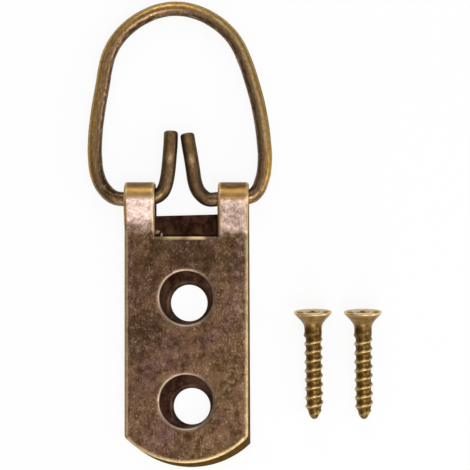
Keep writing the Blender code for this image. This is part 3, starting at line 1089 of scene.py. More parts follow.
    def ear_edge(self, x: float) -> int:
        """Returns which of the two ears' four edges is nearest, counted from the left."""
        ear_middle = (self.window_width + self.width) / 4
        return (x > -ear_middle) + (x > 0.0) + (x > ear_middle)

    def rubbed_and_highlit(self, point: Vector) -> float:
        """Works out how bare the tumbling leaves a rolled edge, with painted highlight on its
        brighter sides.

        Args:
            point: a point of the edge.

        Returns:
            How bare it is there.
        """
        # Painted highlight: brighter on the right side and towards the end, on the ears' right
        # edges, and dimmer on the holes' right side
        if self.near_hole(point):
            return along(self.hole_rub_and_light_by_radius, point.x / (self.head_hole / 2))
        if point.z > self.front_z + self.proud:
            on_ramp, on_barrel = self.ear_rubs_and_light[self.ear_edge(point.x)]
            return along(((-MM, on_ramp), (0.0, on_barrel)), point.y - self.axis_y)
        if abs(point.x) < self.window_width / 2 + self.rim_reach and point.y > 0.0:
            return self.window_side_rub
        if abs(point.x) > self.width / 2 - self.rim_reach:
            side_rub_and_light = self.left_side_rub_and_light if point.x < 0.0 else self.right_side_rub_and_light
            return along(side_rub_and_light, self.window_end_y - point.y)
        return 1.0

    def window_glint(self, x: float) -> float:
        """Returns the painted glint along the window's front edge at a distance from the middle.
        """
        return max(level * clamped((half_length - abs(x - centre)) / MM)
                   for centre, half_length, level in self.window_glints)

    def wear_at(self, point: Vector, kinds: set[int], ring: int | None) -> dict[str, float]:
        """Works out how the press and the tumbling leave a point of the strap.

        Args:
            point: the point.
            kinds: the kinds of surface that meet there.
            ring: on a rolled edge, how many faces it lies from the outer face.

        Returns:
            By attribute: rub_and_highlight, how bright it is rubbed, with painted highlight on
                some edges;
            blush, how pink that is; soot, how dark it stays, with painted shade in the window,
            the holes and the gap; raised, how bare as it stands proud, the left ramp paler as
            painted highlight; barrel, how banded; crown, on which painted highlight band.
        """
        wear = dict.fromkeys(AntiqueBrassSheet.wear, 0.0)
        if Surface.TORN in kinds:
            in_flap = point.x < self.burr_x - self.tooth_reach
            wear["rub_and_highlight"], wear["soot"] = self.flap_wear if in_flap else self.tooth_wear
            wear["blush"] = 1.0
            return wear

        in_hole = self.near_hole(point)
        on_front = point.z > self.gap_middle_z
        if ring is not None:
            shares = self.hole_rub_shares if in_hole else self.rub_shares
            wear["rub_and_highlight"] = self.rubbed_and_highlit(point) * shares[ring]
            # Painted glint along the window's front edge
            if on_front and abs(point.y - self.window_end_y) < self.outline_roll * 2:
                if ring < self.glint_rings:
                    wear["rub_and_highlight"] = max(wear["rub_and_highlight"], self.window_glint(point.x))
        elif Surface.ROLLED in kinds:
            wear["rub_and_highlight"] = self.hidden_roll_rub

        if in_hole:
            wear["blush"] = self.hole_blush
        # Painted shade over the dark oxide between the leaves, at their seam, and on the walls of
        # window and holes
        if Surface.INNER in kinds:
            off_middle = abs(point.x - self.back_drift(self.axis_y - point.y))
            near_end = point.y < self.axis_y - self.end_to_axis + self.end_rise + MM
            in_seam = not in_hole and (off_middle > self.width / 2 - MM or near_end)
            wear["soot"], wear["blush"] = self.seam_dark if in_seam else self.gap_dark
        if Surface.WALL in kinds:
            if in_hole:
                wear["soot"] = 1.0 if on_front else self.back_hole_soot
            elif abs(point.x) < self.window_width / 2 + MM and point.y > 0.0:
                wear.update(soot=1.0, blush=1.0)

        # Painted highlight bands across the barrel, shifted on the right ear
        shift = self.right_crown_shift if point.x > 0.0 else 0.0
        past_axis = point.y - self.axis_y + shift
        wear["barrel"] = on_barrel = along(self.barrel_start, past_axis)
        wear["crown"] = along(self.crown_bands, past_axis)
        # Bare metal of the ramps, the left ramp paler as painted highlight
        if on_front:
            wear["raised"] = along(self.left_fade if point.x < 0.0 else self.right_fade, point.y)
        # Painted highlight: the ears' rolled edges and the left outline take the barrel's colour
        # and its highlight bands, some edges more than others
        if ring is not None and point.z > self.front_z + self.proud:
            wear["crown"] += (self.edge_crown - wear["crown"]) * (1 - on_barrel)
            wear["barrel"] = max(on_barrel, self.ear_edge_lit_golds[self.ear_edge(point.x)])
        at_left = point.x < -self.width / 2 + self.rim_reach
        if ring is not None and at_left and point.y < self.window_end_y:
            wear.update(raised=self.left_edge_raised, barrel=1.0, crown=self.left_edge_crown)
        if point.y > self.axis_y:
            wear["raised"] = 1.0
        return wear

    def paint_wear(self, bm: bmesh.types.BMesh) -> None:
        """Writes the wear of the strap, with its painted highlights and painted shade, into its
        point attributes.

        Args:
            bm: the strap, its faces marked by kind.
        """
        layers = {name: bm.verts.layers.float.new(name) for name in AntiqueBrassSheet.wear}
        rings = self.rim_rings(bm)
        for vert in bm.verts:
            kinds = {face.material_index for face in vert.link_faces}
            wear = self.wear_at(vert.co, kinds, rings.get(vert))
            for name, layer in layers.items():
                vert[layer] = wear[name]

    def add_torn_metal(self, bm: bmesh.types.BMesh) -> None:
        """Adds the burr that the punch left in the window's corner: a tooth and a torn flap.

        Args:
            bm: the strap.
        """
        pressed = set(bm.faces)
        forward = self.tooth_length * self.tooth_forward_share
        tooth = Matrix.Translation((self.burr_x, self.window_end_y + forward,
                                    self.front_z - self.tooth_depth))
        tooth @= Matrix.Rotation(self.tooth_lean, 4, "X")
        tooth @= Matrix.Diagonal((1.0, self.tooth_flatness, 1.0, 1.0))
        bmesh.ops.create_cone(bm, cap_ends=True, segments=self.tooth_sides,
                              radius1=self.tooth_root_radius, radius2=self.tooth_tip_radius,
                              depth=self.tooth_length, matrix=tooth)
        flap = Matrix.Translation((-self.window_width / 2 + self.flap_inset[0],
                                   self.window_end_y + self.flap_inset[1],
                                   self.front_z - self.flap_depth))
        flap @= Matrix.Rotation(self.flap_turn, 4, "Z")
        flap @= Matrix.Rotation(math.pi / 2, 4, "Y")
        flap @= Matrix.Diagonal((self.flap_flatness, 1.0, 1.0, 1.0))
        flap @= Matrix.Rotation(math.pi / 4, 4, "Z")
        bmesh.ops.create_cone(bm, cap_ends=True, segments=4, radius1=self.flap_root_radius,
                              radius2=self.flap_tip_radius, depth=self.flap_length, matrix=flap)
        torn = [face for face in bm.faces if face not in pressed]
        for face in torn:
            face.material_index = Surface.TORN
        torn = bmesh.ops.triangulate(bm, faces=torn)["faces"]

        # Jagged in the order of their places, which is the same each run
        verts = {vert for face in torn for vert in face.verts}
        for number, vert in enumerate(sorted(verts, key=lambda vert: vert.co.to_tuple())):
            vert.co.x += self.jag * math.sin(number * 2.3)
            vert.co.y += self.jag * math.cos(number * 1.7)

    def build(self) -> None:
        """Builds the strap, dresses it and sets it in place of its CAD node."""
        bm = self.pressed()
        outline = []
        back_holes = []
        for edge in self.between(bm, Surface.OUTER, Surface.WALL):
            middle = (edge.verts[0].co + edge.verts[1].co) / 2
            at_back_hole = middle.z < self.gap_middle_z and self.near_hole(middle)
            (back_holes if at_back_hole else outline).append(edge)
        seams = [edge for edge in bm.edges if edge.calc_length() > self.width / 4
                 and all(face.material_index == Surface.INNER for face in edge.link_faces)]
        bmesh.ops.subdivide_edges(bm, edges=seams, cuts=self.seam_cuts)
        self.roll(bm, outline, self.outline_roll, self.roll_segments)
        self.roll(bm, back_holes, self.back_hole_roll, self.back_hole_roll_segments)
        self.roll(bm, self.between(bm, Surface.INNER, Surface.WALL), self.inner_edge_roll, 1)
        faces = [face for face in bm.faces if face.material_index == Surface.OUTER]
        bmesh.ops.inset_region(bm, faces=faces, thickness=self.fade, use_boundary=True,
                               use_even_offset=False)
        for vert in bm.verts:
            vert.co.z = max(vert.co.z, 0.0)
        self.add_torn_metal(bm)
        self.paint_wear(bm)
        for face in bm.faces:
            face.material_index = 0
        piece = add_mesh_object("strap_of_folded_sheet", bm)
        dress(piece, AntiqueBrassSheet().material(), "folded_strap", "strap")


@dataclass
class DRing:
    """Bent wire whose loop hangs in the strap's barrel, its two ends turned up in the window.

    The bends are shares: x of half the window or half the ring, y of the prongs' reach, the
    wire's diameter or the ring's reach. A table of wear and painted light has (place, value)
    pairs.
    """

    wire_diameter: float = 0.0026
    inside_box: float = 0.0000015
    wire_clearance: float = 0.00038
    askew_share: float = 0.474
    strap_width: float = 0.0223
    window_width: float = 0.01125
    overhang: float = 0.004175
    reach: float = 0.0343
    prong_reach: float = 0.0122
    axis_y: float = 0.0273
    axis_z: float = 0.00288
    loop_shares: tuple = (
        (-0.854, 0.006), (-0.960, 0.047), (-1.036, 0.112), (-1.070, 0.205), (-1.070, 0.318),
        (-1.038, 0.455), (-0.982, 0.603), (-0.953, 0.685), (-0.900, 0.768), (-0.799, 0.845),
        (-0.659, 0.909), (-0.483, 0.960), (-0.285, 0.992), (-0.074, 0.999), (0.132, 0.979),
        (0.318, 0.938), (0.475, 0.882), (0.595, 0.813), (0.676, 0.737), (0.783, 0.595),
        (0.861, 0.455), (0.912, 0.294), (0.922, 0.197), (0.887, 0.093), (0.803, 0.022),
    )
    left_bend_shares: tuple = ((-0.775, 0.399), (-0.680, 0.788), (-0.621, 1.258))
    left_prong_shares: tuple = ((-0.576, 0.401), (-0.534, 0.608), (-0.502, 0.814), (-0.490, 1.000))
    right_bend_shares: tuple = ((0.694, -0.070), (0.486, 0.235), (0.352, 0.638), (0.275, 1.121))
    right_prong_shares: tuple = ((0.214, 0.416), (0.154, 0.593), (0.086, 0.770), (0.019, 0.965))

    # Rounding of the sheared tips: (share of the radius, depth) pairs, and back to full thickness
    tip_rounding: float = 0.00060
    tip_profile: tuple = ((0.0, 0.0), (0.38, 0.03), (0.62, 0.10), (0.79, 0.24), (0.91, 0.48),
                          (0.965, 0.74), (0.985, 1.0))
    tip_taper: float = 0.003

    # Painted shade and highlights over the oxide: how the ears shade the loop by y, more on the
    # left, and how the strap darkens the ends by the way from their tips, with lighter tops and
    # glints
    eye_middle: tuple = (-0.001, 0.014406, 0.0)
    ear_shelter: tuple = ((0.001, 1.0), (0.006, 0.0))
    ear_evening: float = 0.6
    left_shade: float = 0.70
    right_shade: float = 0.35
    tip_shelter: tuple = ((0.01303, 1.0), (0.01803, 0.0))
    prong_glow: float = 0.8
    prong_glow_focus: float = 2.5
    glint: float = 0.85
    glint_focus: float = 18.0
    glint_from_tip: float = 0.0050
    glint_half_length: float = 0.0008

    # Painted highlight bands past the first bend: side, place by outer, half width and strength
    highlight_bands: tuple = ((1, 0.28, 0.24, 0.80), (-1, 0.45, 0.24, 0.32))
    highlight_from: tuple = ((0.0048, 0.0), (0.0108, 1.0))
    highlight_fade: float = 0.006
    highlight_focus: float = 0.5

    sides: int = 32
    curve_steps: int = 9

    def bend_points(self) -> list[tuple[float, float]]:
        """Works out where the wire bends, in the ring's own plane.

        Returns:
            The points of its centre line, left tip first.
        """
        half_window = self.window_width / 2
        half_strap = self.strap_width / 2
        middle = (half_window + half_strap) / 2
        askew = self.askew_share * self.wire_clearance
        points = []
        for shares, across, up in (
                (reversed(self.left_prong_shares), half_window, self.prong_reach),
                (reversed(self.left_bend_shares), half_window, self.wire_diameter),
                (((-half_window, askew), (-middle, 0.0), (-half_strap, -askew)), 1.0, 1.0),
                (self.loop_shares, half_strap + self.overhang, self.reach),
                (((half_strap, askew), (middle, 0.0), (half_window, -askew)), 1.0, 1.0),
                (self.right_bend_shares, half_window, self.wire_diameter),
                (self.right_prong_shares, half_window, self.prong_reach)):
            points += [(x * across, y * up) for x, y in shares]
        return points

    def centre_line(self) -> list[Vector]:
        """Draws the smooth centre line through the bend points.

        Returns:
            Its points, in small even steps.
        """
        points = self.bend_points()
        line = bpy.data.curves.new("centre_line", "CURVE")
        line.dimensions = "3D"
        line.resolution_u = self.curve_steps
        spline = line.splines.new("BEZIER")
        spline.bezier_points.add(len(points) - 1)
        for point, (x, y) in zip(spline.bezier_points, points):
            point.co = (x, y, 0.0)
            point.handle_left_type = "AUTO"
            point.handle_right_type = "AUTO"
        drawn = bpy.data.objects.new("centre_line", line)
        bpy.context.scene.collection.objects.link(drawn)
        bm = final_shape(drawn)
        walked = [vert.co.copy() for vert in bm.verts]
        bm.free()
        return walked

    def sections(self) -> list[tuple[Vector, Vector, float, float]]:
        """Works out the wire's cross sections.

        Returns:
            For each its centre, its tangent, its share of the full radius, and the length of wire
            up to it.
        """
        line = self.centre_line()
        tangents = []
        for number in range(len(line)):
            before = line[max(number - 1, 0)]
            after = line[min(number + 1, len(line) - 1)]
            tangents.append((after - before).normalized())
        lengths = [0.0]
        for before, after in zip(line, line[1:]):
            lengths.append(lengths[-1] + (after - before).length)
        total = lengths[-1]
        full = self.tip_profile[-1][0]
        first_tip = []
        last_tip = []
        for share, depth in self.tip_profile:
            inwards = self.tip_rounding * depth
            first_tip.append((line[0] + tangents[0] * inwards, tangents[0], share, inwards))
            last_tip.append((line[-1] - tangents[-1] * inwards, tangents[-1], share,
                             total - inwards))
        rows = first_tip
        for point, tangent, length in zip(line, tangents, lengths):
            from_tip = min(length, total - length)
            if from_tip > self.tip_rounding * 1.3:
                share = min(full + (1.0 - full) * from_tip / self.tip_taper, 1.0)
                rows.append((point, tangent, share, length))
        return rows + last_tip[::-1]

    def wear_at(self, centre: Vector, way: Vector, tip_way: float) -> dict[str, float]:
        """Works out how the wire is worn at a point of its surface.

        Args:
            centre: the middle of the wire there, in the ring's own plane.
            way: the direction from there to the surface.
            tip_way: the length of wire to the nearer tip.

        Returns:
            By attribute: outer, from 1 on the loop's outer side to -1 on its inner side, lower
                near the
            ears as painted shade; prong_oxide_and_shade, how dark the oxide of a turned-up end is,
            its sides darker as painted shade; bare_and_highlight, how bright the painted
            highlights are.
        """
        upwards = max(way.z, 0.0)
        # Painted shade: the loop darker near the ears, more on the left
        near_ear = along(self.ear_shelter, centre.y)
        shade = self.left_shade if centre.x < -self.window_width / 2 else self.right_shade
        outwards = way.dot((centre - Vector(self.eye_middle)).normalized())
        outer = outwards * (1 - self.ear_evening * near_ear) - shade * near_ear
        # Painted shade: the turned-up ends darker on their sides than on top, over their dark
        # oxide
        glow = self.prong_glow * upwards ** self.prong_glow_focus
        prong_oxide_and_shade = along(self.tip_shelter, tip_way) * (1.0 - glow)
        # Painted highlights: a glint on top of each turned-up end, and bands on the loop's
        # shoulders
        off_glint = (tip_way - self.glint_from_tip) / self.glint_half_length
        bare_and_highlight = self.glint * math.exp(-off_glint * off_glint) * upwards ** self.glint_focus
        for side, band, half_width, most in self.highlight_bands:
            off_band = (outer - band) / half_width
            highlighted = clamped(side * centre.x / self.highlight_fade)
            highlighted *= along(self.highlight_from, centre.y) * upwards ** self.highlight_focus
            bare_and_highlight += most * highlighted * math.exp(-off_band * off_band)
        return {"outer": outer, "prong_oxide_and_shade": prong_oxide_and_shade, "bare_and_highlight": bare_and_highlight}

    def build(self) -> None:
        """Builds the ring, dresses it and sets it in place of its CAD node."""
        rows = self.sections()
        radius = self.wire_diameter / 2 - self.inside_box
        columns = self.sides + 1
        bm = bmesh.new()
        bmesh.ops.create_grid(bm, x_segments=self.sides, y_segments=len(rows) - 1, size=1.0)
        bm.verts.ensure_lookup_table()
        layers = {name: bm.verts.layers.float.new(name) for name in AntiqueBrassWire.wear}
        unrolled = bm.verts.layers.float_vector.new("wire")
        total = rows[-1][3]
        for vert in bm.verts:
            centre, tangent, share, length = rows[vert.index // columns]
            angle = math.tau * (vert.index % columns) / self.sides
            across = Vector((-tangent.y, tangent.x, 0.0))
            way = across * math.cos(angle) + Vector((0.0, 0.0, math.sin(angle)))
            vert.co = centre + way * radius * share
            for name, value in self.wear_at(centre, way, min(length, total - length)).items():
                vert[layers[name]] = value
            vert[unrolled] = (length, way.x * radius, way.z * radius)
        bmesh.ops.remove_doubles(bm, verts=bm.verts, dist=MERGE)
        bmesh.ops.recalc_face_normals(bm, faces=bm.faces)
        tilt = math.asin((self.axis_z - radius) / self.reach)
        lay = Matrix.Translation((0.0, self.axis_y, self.axis_z)) @ Matrix.Rotation(-tilt, 4, "X")
        bmesh.ops.transform(bm, matrix=lay, verts=bm.verts)
        piece = add_mesh_object("ring_of_bent_wire", bm)
        dress(piece, AntiqueBrassWire().material(), "d_ring", "ring")


@dataclass
class WoodScrew:
    """Countersunk wood screw with a cross recess, lying on its side, its head towards the ring.

    It is made standing, the head's face at height 0 and the point below.
    """

    side: Side
    x: float
    rim_y: float = 0.00667
    yaw: float = math.radians(1.1)
    length: float = 0.0196
    head: float = 0.0068
    head_edge: float = 0.00022
    head_chamfer: float = 0.00008
    cone_half_angle: float = math.radians(43.0)
    neck: float = 0.0031
    neck_fillet: float = 0.0007
    neck_length: float = 0.0012
    neck_taper: float = 0.0009
    crest_diameter: float = 0.00336
    root_diameter: float = 0.00268
    pitch: float = 0.00164
    thread_start: float = 0.00047
    flank_share: float = 0.33
    flank_hollow: float = 1.25
    crest_flattening: float = 1.1
    thread_phases: tuple = (0.0, 0.09, 0.17, 0.22, 0.27, 0.32, 0.37, 0.42, 0.46, 0.50, 0.54, 0.58,
                            0.63, 0.68, 0.73, 0.78, 0.83, 0.91)
    thread_fade_in: float = 0.0015
    thread_fade_out: float = 0.0020
    point_length: float = 0.0024
    point_power: float = 0.45
    point_blunt_share: float = 0.1
    point_cut: float = 0.00002

    # How far up the neck the sweep and the thread's fading reach, and from the tip its fading
    sweep_reach: float = 0.0004
    fade_reach: float = 0.0007
    fade_end: float = 0.00025

    recess_span: float = 0.0034
    recess_slot: float = 0.0008
    recess_depth: float = 0.0014
    recess_taper: tuple = (0.45, 0.8)
    root_soot: float = 0.30
    neck_soot: float = 0.50
    # Painted dark reflection on the head's face: place across it, half width, falloff, least
    # share, and how much it dims the rub
    reflection_place: float = 0.70
    reflection_half_width: float = 0.24
    reflection_falloff: float = 0.0014
    reflection_least: float = 0.35
    reflection_dimming: float = 0.8
    turn_steps: int = 64

    @property
    def rim_z(self) -> float:
        """Height of the lower edge of the head's rim."""
        return -self.head_chamfer - self.head_edge

    @property
    def cone_foot(self) -> float:
        """Height at which the head's cone meets the neck."""
        return self.rim_z - (self.head - self.neck) / 2 / math.tan(self.cone_half_angle)

    @property
    def neck_foot(self) -> float:
        """Height at which the neck ends and the thread begins."""
        return self.cone_foot - self.neck_fillet - self.neck_length

    def thread_height(self, phase: float) -> float:
        """Returns the thread's height at a share of its pitch: 0 at the root, 1 at the crest."""
        rise = 1.0 - abs(phase - 0.5) / self.flank_share
        return min(1.0, (max(rise, 0.0) * self.crest_flattening) ** self.flank_hollow)

    def body_radius(self, z: float) -> float:
        """Works out the radius of the screw under its thread.

        Args:
            z: a height below the head.

        Returns:
            The radius there: that of the neck, the root, or the point, which is blunt.
        """
        neck = self.neck / 2
        root = self.root_diameter / 2
        if z > self.neck_foot - self.neck_taper:
            share = clamped((self.neck_foot - z) / self.neck_taper)
            return neck + (root - neck) * share * share * (3 - 2 * share)
        share = clamped((z + self.length) / self.point_length)
        blunt = self.point_blunt_share
        return root * (blunt + (1 - blunt) * share ** self.point_power)

    def thread_presence(self, z: float) -> float:
        """Returns how fully the thread stands at a height, fading at the neck and the tip."""
        start = (self.neck_foot + self.fade_reach - z) / self.thread_fade_in
        return clamped(start) * clamped((z + self.length - self.fade_end) / self.thread_fade_out)

    def threaded_shank(self) -> bmesh.types.BMesh:
        """Sweeps the thread's profile along its helix and trims it at neck and tip.

        Returns:
            The shank, open at both ends, with its wear.
        """
        top = self.neck_foot + self.sweep_reach
        root = self.root_diameter / 2
        crest = (self.crest_diameter - self.root_diameter) / 2
        bm = bmesh.new()
        layers = {name: bm.verts.layers.float.new(name) for name in BrassedScrewSteel.wear}
        verts = []
        for turn in range(math.ceil((self.length + top) / self.pitch) + 2):
            for phase in self.thread_phases:
                height = top + self.pitch - self.thread_start - (turn + phase) * self.pitch
                reach = root + crest * self.thread_height(phase)
                verts.append(bm.verts.new((reach, 0.0, height)))
        edges = [bm.edges.new(pair) for pair in zip(verts, verts[1:])]
        bmesh.ops.spin(bm, geom=verts + edges, cent=(0, 0, 0), axis=(0, 0, 1), angle=math.tau,
                       dvec=(0.0, 0.0, self.pitch / self.turn_steps), steps=self.turn_steps,
                       use_merge=False)
        bmesh.ops.remove_doubles(bm, verts=bm.verts, dist=MERGE)
        for height, keep_above in ((top, False), (-self.length + self.point_cut, True)):
            bmesh.ops.bisect_plane(bm, geom=bm.verts[:] + bm.edges[:] + bm.faces[:],
                                   plane_co=(0, 0, height), plane_no=(0, 0, 1), dist=MERGE / 10,
                                   clear_outer=not keep_above, clear_inner=keep_above)
        for vert in bm.verts:
            reach = math.hypot(vert.co.x, vert.co.y)
            height = (reach - root) / crest
            presence = self.thread_presence(vert.co.z)
            radius = self.body_radius(vert.co.z) + crest * height * presence
            vert.co.x *= radius / reach
            vert.co.y *= radius / reach
            bare_neck = 1 - presence if vert.co.z > -self.length / 2 else 0.0
            vert[layers["rub_and_highlight"]] = height ** 3 * presence
            vert[layers["soot"]] = ((1 - height) * presence * self.root_soot
                                    + bare_neck * self.neck_soot)
        return bm

    def head_stations(self) -> tuple:
        """Lists the rings of neck, cone, rim and face.

        Returns:
            For each its radius, height, rub and soot, from the neck to the recess.
        """
        neck = self.neck / 2
        rim = self.head / 2
        foot = self.cone_foot
        slope = math.tan(self.cone_half_angle)
        return (
            (neck, self.neck_foot + 0.8 * MM, 0.0, self.neck_soot),
            (neck + 0.03 * MM, foot - self.neck_fillet * 0.75, 0.0, 0.15),
            (neck + 0.10 * MM, foot - self.neck_fillet * 0.35, 0.08, 0.0),
            (neck + 0.22 * MM, foot + 0.05 * MM, 0.12, 0.0),
            (neck + 0.42 * MM, foot + 0.35 * MM, 0.14, 0.0),
            (neck + 0.75 * MM * slope, foot + 0.75 * MM, 0.10, 0.0),
            (rim - 0.40 * MM, self.rim_z - 0.40 * MM / slope, 0.08, 0.0),
            (rim - 0.06 * MM, self.rim_z - 0.06 * MM / slope, 0.3, 0.0),
            (rim, self.rim_z, 1.0, 0.0),
            (rim, -self.head_chamfer * 1.2, 1.0, 0.0),
            (rim - 0.03 * MM, -self.head_chamfer * 0.4, 1.0, 0.0),
            # Painted highlight: the head's face nearly as bright as its rim
            (rim - self.head_chamfer, 0.0, 0.9, 0.0),
            (rim - 0.30 * MM, 0.0, 0.8, 0.0),
            (rim - 0.75 * MM, 0.0, 0.6, 0.0),
            (self.recess_span * 0.62, 0.0, 0.6, 0.0),
            (self.recess_span * 0.52, 0.0, 0.6, 0.0),
            (self.recess_span * 0.42, -0.07 * MM, 0.6, 0.0),
            (self.recess_span * 0.30, -0.15 * MM, 0.5, 0.0),
        )

    def head_painted_reflection(self, point: Vector) -> float:
        """Works out how strong the painted dark reflection is on the head's face, beside the
        recess.

        Args:
            point: a point of the head.

        Returns:
            Its strength as a share, and 0 off the face.
        """
        inside_rim = math.hypot(point.x, point.y) < self.head / 2 - 2 * self.head_chamfer
        if point.z < -self.head_chamfer / 2 or not inside_rim:
            return 0.0
        off_middle = abs(point.x) / (self.head / 2) - self.reflection_place
        below = clamped(0.5 - point.y / self.reflection_falloff)
        thickness = self.reflection_least + (1 - self.reflection_least) * below
        return math.exp(-(off_middle / self.reflection_half_width) ** 2) * thickness

    def add_head(self, bm: bmesh.types.BMesh) -> None:
        """Closes the point and grows neck and head from the top of the shank, ring by ring.

        Args:
            bm: the threaded shank.
        """
        rub_and_highlight, soot, painted_reflection = (bm.verts.layers.float[name] for name in BrassedScrewSteel.wear)
        loops = [edge for edge in bm.edges if edge.is_boundary]
        upper = [edge for edge in loops if edge.verts[0].co.z > -self.length / 2]
        lower = [edge for edge in loops if edge.verts[0].co.z < -self.length / 2]
        bmesh.ops.holes_fill(bm, edges=lower)
        for radius, height, wear, wash in self.head_stations():
            grown = bmesh.ops.extrude_edge_only(bm, edges=upper)["geom"]
            upper = [edge for edge in grown if isinstance(edge, bmesh.types.BMEdge)
                     and edge.is_boundary]
            for vert in verts_in(grown):
                stretch = radius / math.hypot(vert.co.x, vert.co.y)
                vert.co = Vector((vert.co.x * stretch, vert.co.y * stretch, height))
                vert[soot] = wash
                # Painted dark reflection on the head's face, which dims its rub there
                vert[painted_reflection] = self.head_painted_reflection(vert.co)
                vert[rub_and_highlight] = wear * (1.0 - self.reflection_dimming * vert[painted_reflection])
        bmesh.ops.holes_fill(bm, edges=upper)
        bmesh.ops.recalc_face_normals(bm, faces=bm.faces)

    def wing(self, number: int) -> bpy.types.Object:
        """Makes one of the two crossed punches of the recess, narrowing towards its floor.

        Args:
            number: 0 or 1, a quarter turn further.

        Returns:
            The punch.
        """
        bm = bmesh.new()
        bmesh.ops.create_cube(bm, size=1.0)
        for vert in bm.verts:
            if vert.co.z < 0.0:
                vert.co.x *= self.recess_taper[0]
                vert.co.y *= self.recess_taper[1]
        depth = self.recess_depth + MM
        turn = Matrix.Rotation(number * math.pi / 2, 4, "Z")
        sink = Matrix.Translation((0.0, 0.0, depth / 2 - self.recess_depth))
        stretch = Matrix.Diagonal((self.recess_span, self.recess_slot, depth, 1.0))
        bmesh.ops.transform(bm, matrix=turn @ sink @ stretch, verts=bm.verts)
        return add_mesh_object(f"wing_{self.side.value}_{number}", bm)

    def lie(self) -> Matrix:
        """Works out where the screw lies: on its head's rim and on its thread.

        Returns:
            The matrix that lays the standing screw down there.
        """
        thread_end = self.point_length - self.length
        tilt = math.atan2((self.head - self.crest_diameter) / 2, self.rim_z - thread_end)
        turn = Matrix.Rotation(self.yaw, 4, "Z") @ Matrix.Rotation(tilt - math.pi / 2, 4, "X")
        rim_centre = Vector((self.x, self.rim_y, self.head / 2 * math.cos(tilt)))
        return Matrix.Translation(rim_centre - turn @ Vector((0.0, 0.0, self.rim_z))) @ turn

    def build(self) -> None:
        """Builds the screw, dresses it and sets it in place of its CAD node."""
        name = self.side.value
        bm = self.threaded_shank()
        self.add_head(bm)
        bm = cut(add_mesh_object("screw_blank_" + name, bm), [self.wing(0), self.wing(1)])
        bmesh.ops.transform(bm, matrix=self.lie(), verts=bm.verts)
        piece = add_mesh_object("wood_screw_" + name, bm)
        dress(piece, BrassedScrewSteel().material(), "screw_" + name, name + "_screw")


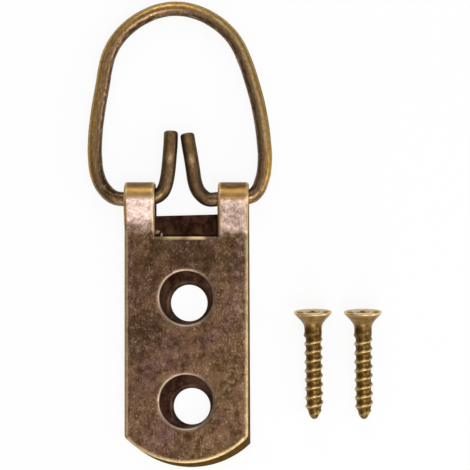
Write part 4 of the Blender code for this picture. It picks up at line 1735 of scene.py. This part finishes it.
@dataclass
class Studio:
    """Pale floor, soft lights and the camera straight above."""

    eye: tuple = (0.00877, 0.02068, 0.3025)
    sensor_mm: float = 36.0
    view_mm: float = 84.6
    distance_mm: float = 300.0
    nearest: float = 0.01
    floor_size: float = 3.0
    floor_sink: float = 0.00002
    floor_color: str = "FCFCFC"
    floor_roughness: float = 0.9
    floor_glow: float = 0.90
    horizon: tuple = (0.3, 0.16)
    overhead: tuple = (0.85, 0.50)
    softboxes: tuple = (
        ("key_softbox", (0.16, -0.22, 0.62), 0.30, 1.5),
        ("low_softbox", (0.05, -0.60, 0.28), 0.40, 1.1),
        ("side_softbox", (0.60, -0.10, 0.28), 0.35, 1.2),
        ("far_softbox", (-0.05, 0.58, 0.34), 0.35, 1.0),
    )

    def build(self) -> None:
        """Sets up the floor, the world, the lights and the camera."""
        self.add_floor()
        self.add_world()
        for name, place, size, watts in self.softboxes:
            self.add_softbox(name, place, size, watts)
        self.add_camera()
        bpy.context.scene.view_settings.view_transform = "Standard"

    def add_floor(self) -> None:
        """Adds the floor, which shows white and keeps a faint shadow."""
        bm = bmesh.new()
        bmesh.ops.create_grid(bm, x_segments=1, y_segments=1, size=self.floor_size / 2)
        bmesh.ops.translate(bm, verts=bm.verts, vec=(0.0, 0.0, -self.floor_sink))
        floor = add_mesh_object("floor", bm)
        card = bpy.data.materials.new("pale card")
        card.use_nodes = True
        tree = card.node_tree
        shader = tree.nodes["Principled BSDF"]
        feed(shader, {"Base Color": linear(self.floor_color), "Roughness": self.floor_roughness})
        path = add_node(tree, "ShaderNodeLightPath")
        seen = add_node(tree, "ShaderNodeMath", {"operation": "MAXIMUM"}, {
            0: path.outputs["Is Camera Ray"], 1: path.outputs["Is Glossy Ray"]})
        share = add_node(tree, "ShaderNodeMath", {"operation": "MULTIPLY"}, {
            0: seen, 1: self.floor_glow})
        white = add_node(tree, "ShaderNodeEmission", {}, {"Color": WHITE, "Strength": 1.0})
        mixed = add_node(tree, "ShaderNodeMixShader", {}, {0: share, 1: shader, 2: white})
        feed(tree.nodes["Material Output"], {"Surface": mixed})
        floor.data.materials.append(card)

    def add_world(self) -> None:
        """Adds the room's light, dimmer at the horizon than overhead, and white behind it all."""
        world = bpy.data.worlds.new("plain studio")
        bpy.context.scene.world = world
        world.use_nodes = True
        tree = world.node_tree
        way = add_node(tree, "ShaderNodeTexCoord").outputs["Generated"]
        height = add_node(tree, "ShaderNodeSeparateXYZ", {}, {0: way}).outputs["Z"]
        level = add_node(tree, "ShaderNodeMapRange", {}, {
            "Value": height, "From Min": self.horizon[0], "From Max": self.overhead[0],
            "To Min": self.horizon[1], "To Max": self.overhead[1]})
        room = tree.nodes["Background"]
        feed(room, {"Color": WHITE, "Strength": level})
        path = add_node(tree, "ShaderNodeLightPath")
        white = add_node(tree, "ShaderNodeBackground", {}, {"Color": WHITE, "Strength": 1.0})
        mixed = add_node(tree, "ShaderNodeMixShader", {}, {
            0: path.outputs["Is Camera Ray"], 1: room, 2: white})
        feed(tree.nodes["World Output"], {"Surface": mixed})

    def add_softbox(self, name: str, place: tuple, size: float, watts: float) -> None:
        """Adds a square soft light that faces the object.

        Args:
            name: the light's name.
            place: where it hangs.
            size: length of its side.
            watts: its power.
        """
        light = bpy.data.lights.new(name, "AREA")
        light.size = size
        light.energy = watts
        lamp = bpy.data.objects.new(name, light)
        lamp.location = place
        way = Vector((self.eye[0], self.eye[1], 0.0)) - Vector(place)
        lamp.rotation_euler = way.to_track_quat("-Z", "Y").to_euler()
        bpy.context.scene.collection.objects.link(lamp)

    def add_camera(self) -> None:
        """Adds the camera, which looks straight down."""
        data = bpy.data.cameras.new("photograph")
        data.sensor_width = self.sensor_mm
        data.lens = self.sensor_mm * self.distance_mm / self.view_mm
        data.clip_start = self.nearest
        camera = bpy.data.objects.new("photograph", data)
        camera.location = self.eye
        bpy.context.scene.collection.objects.link(camera)
        bpy.context.scene.camera = camera


def main() -> None:
    """Builds the sub-assemblies in order and reports each one."""
    logging.basicConfig(level=logging.INFO, format="%(name)s: %(message)s")
    Studio().build()
    FoldedStrap().build()
    DRing().build()
    for side, x in ((Side.LEFT, 0.02274), (Side.RIGHT, 0.03171)):
        WoodScrew(side, x).build()


if __name__ == "__main__":
    main()
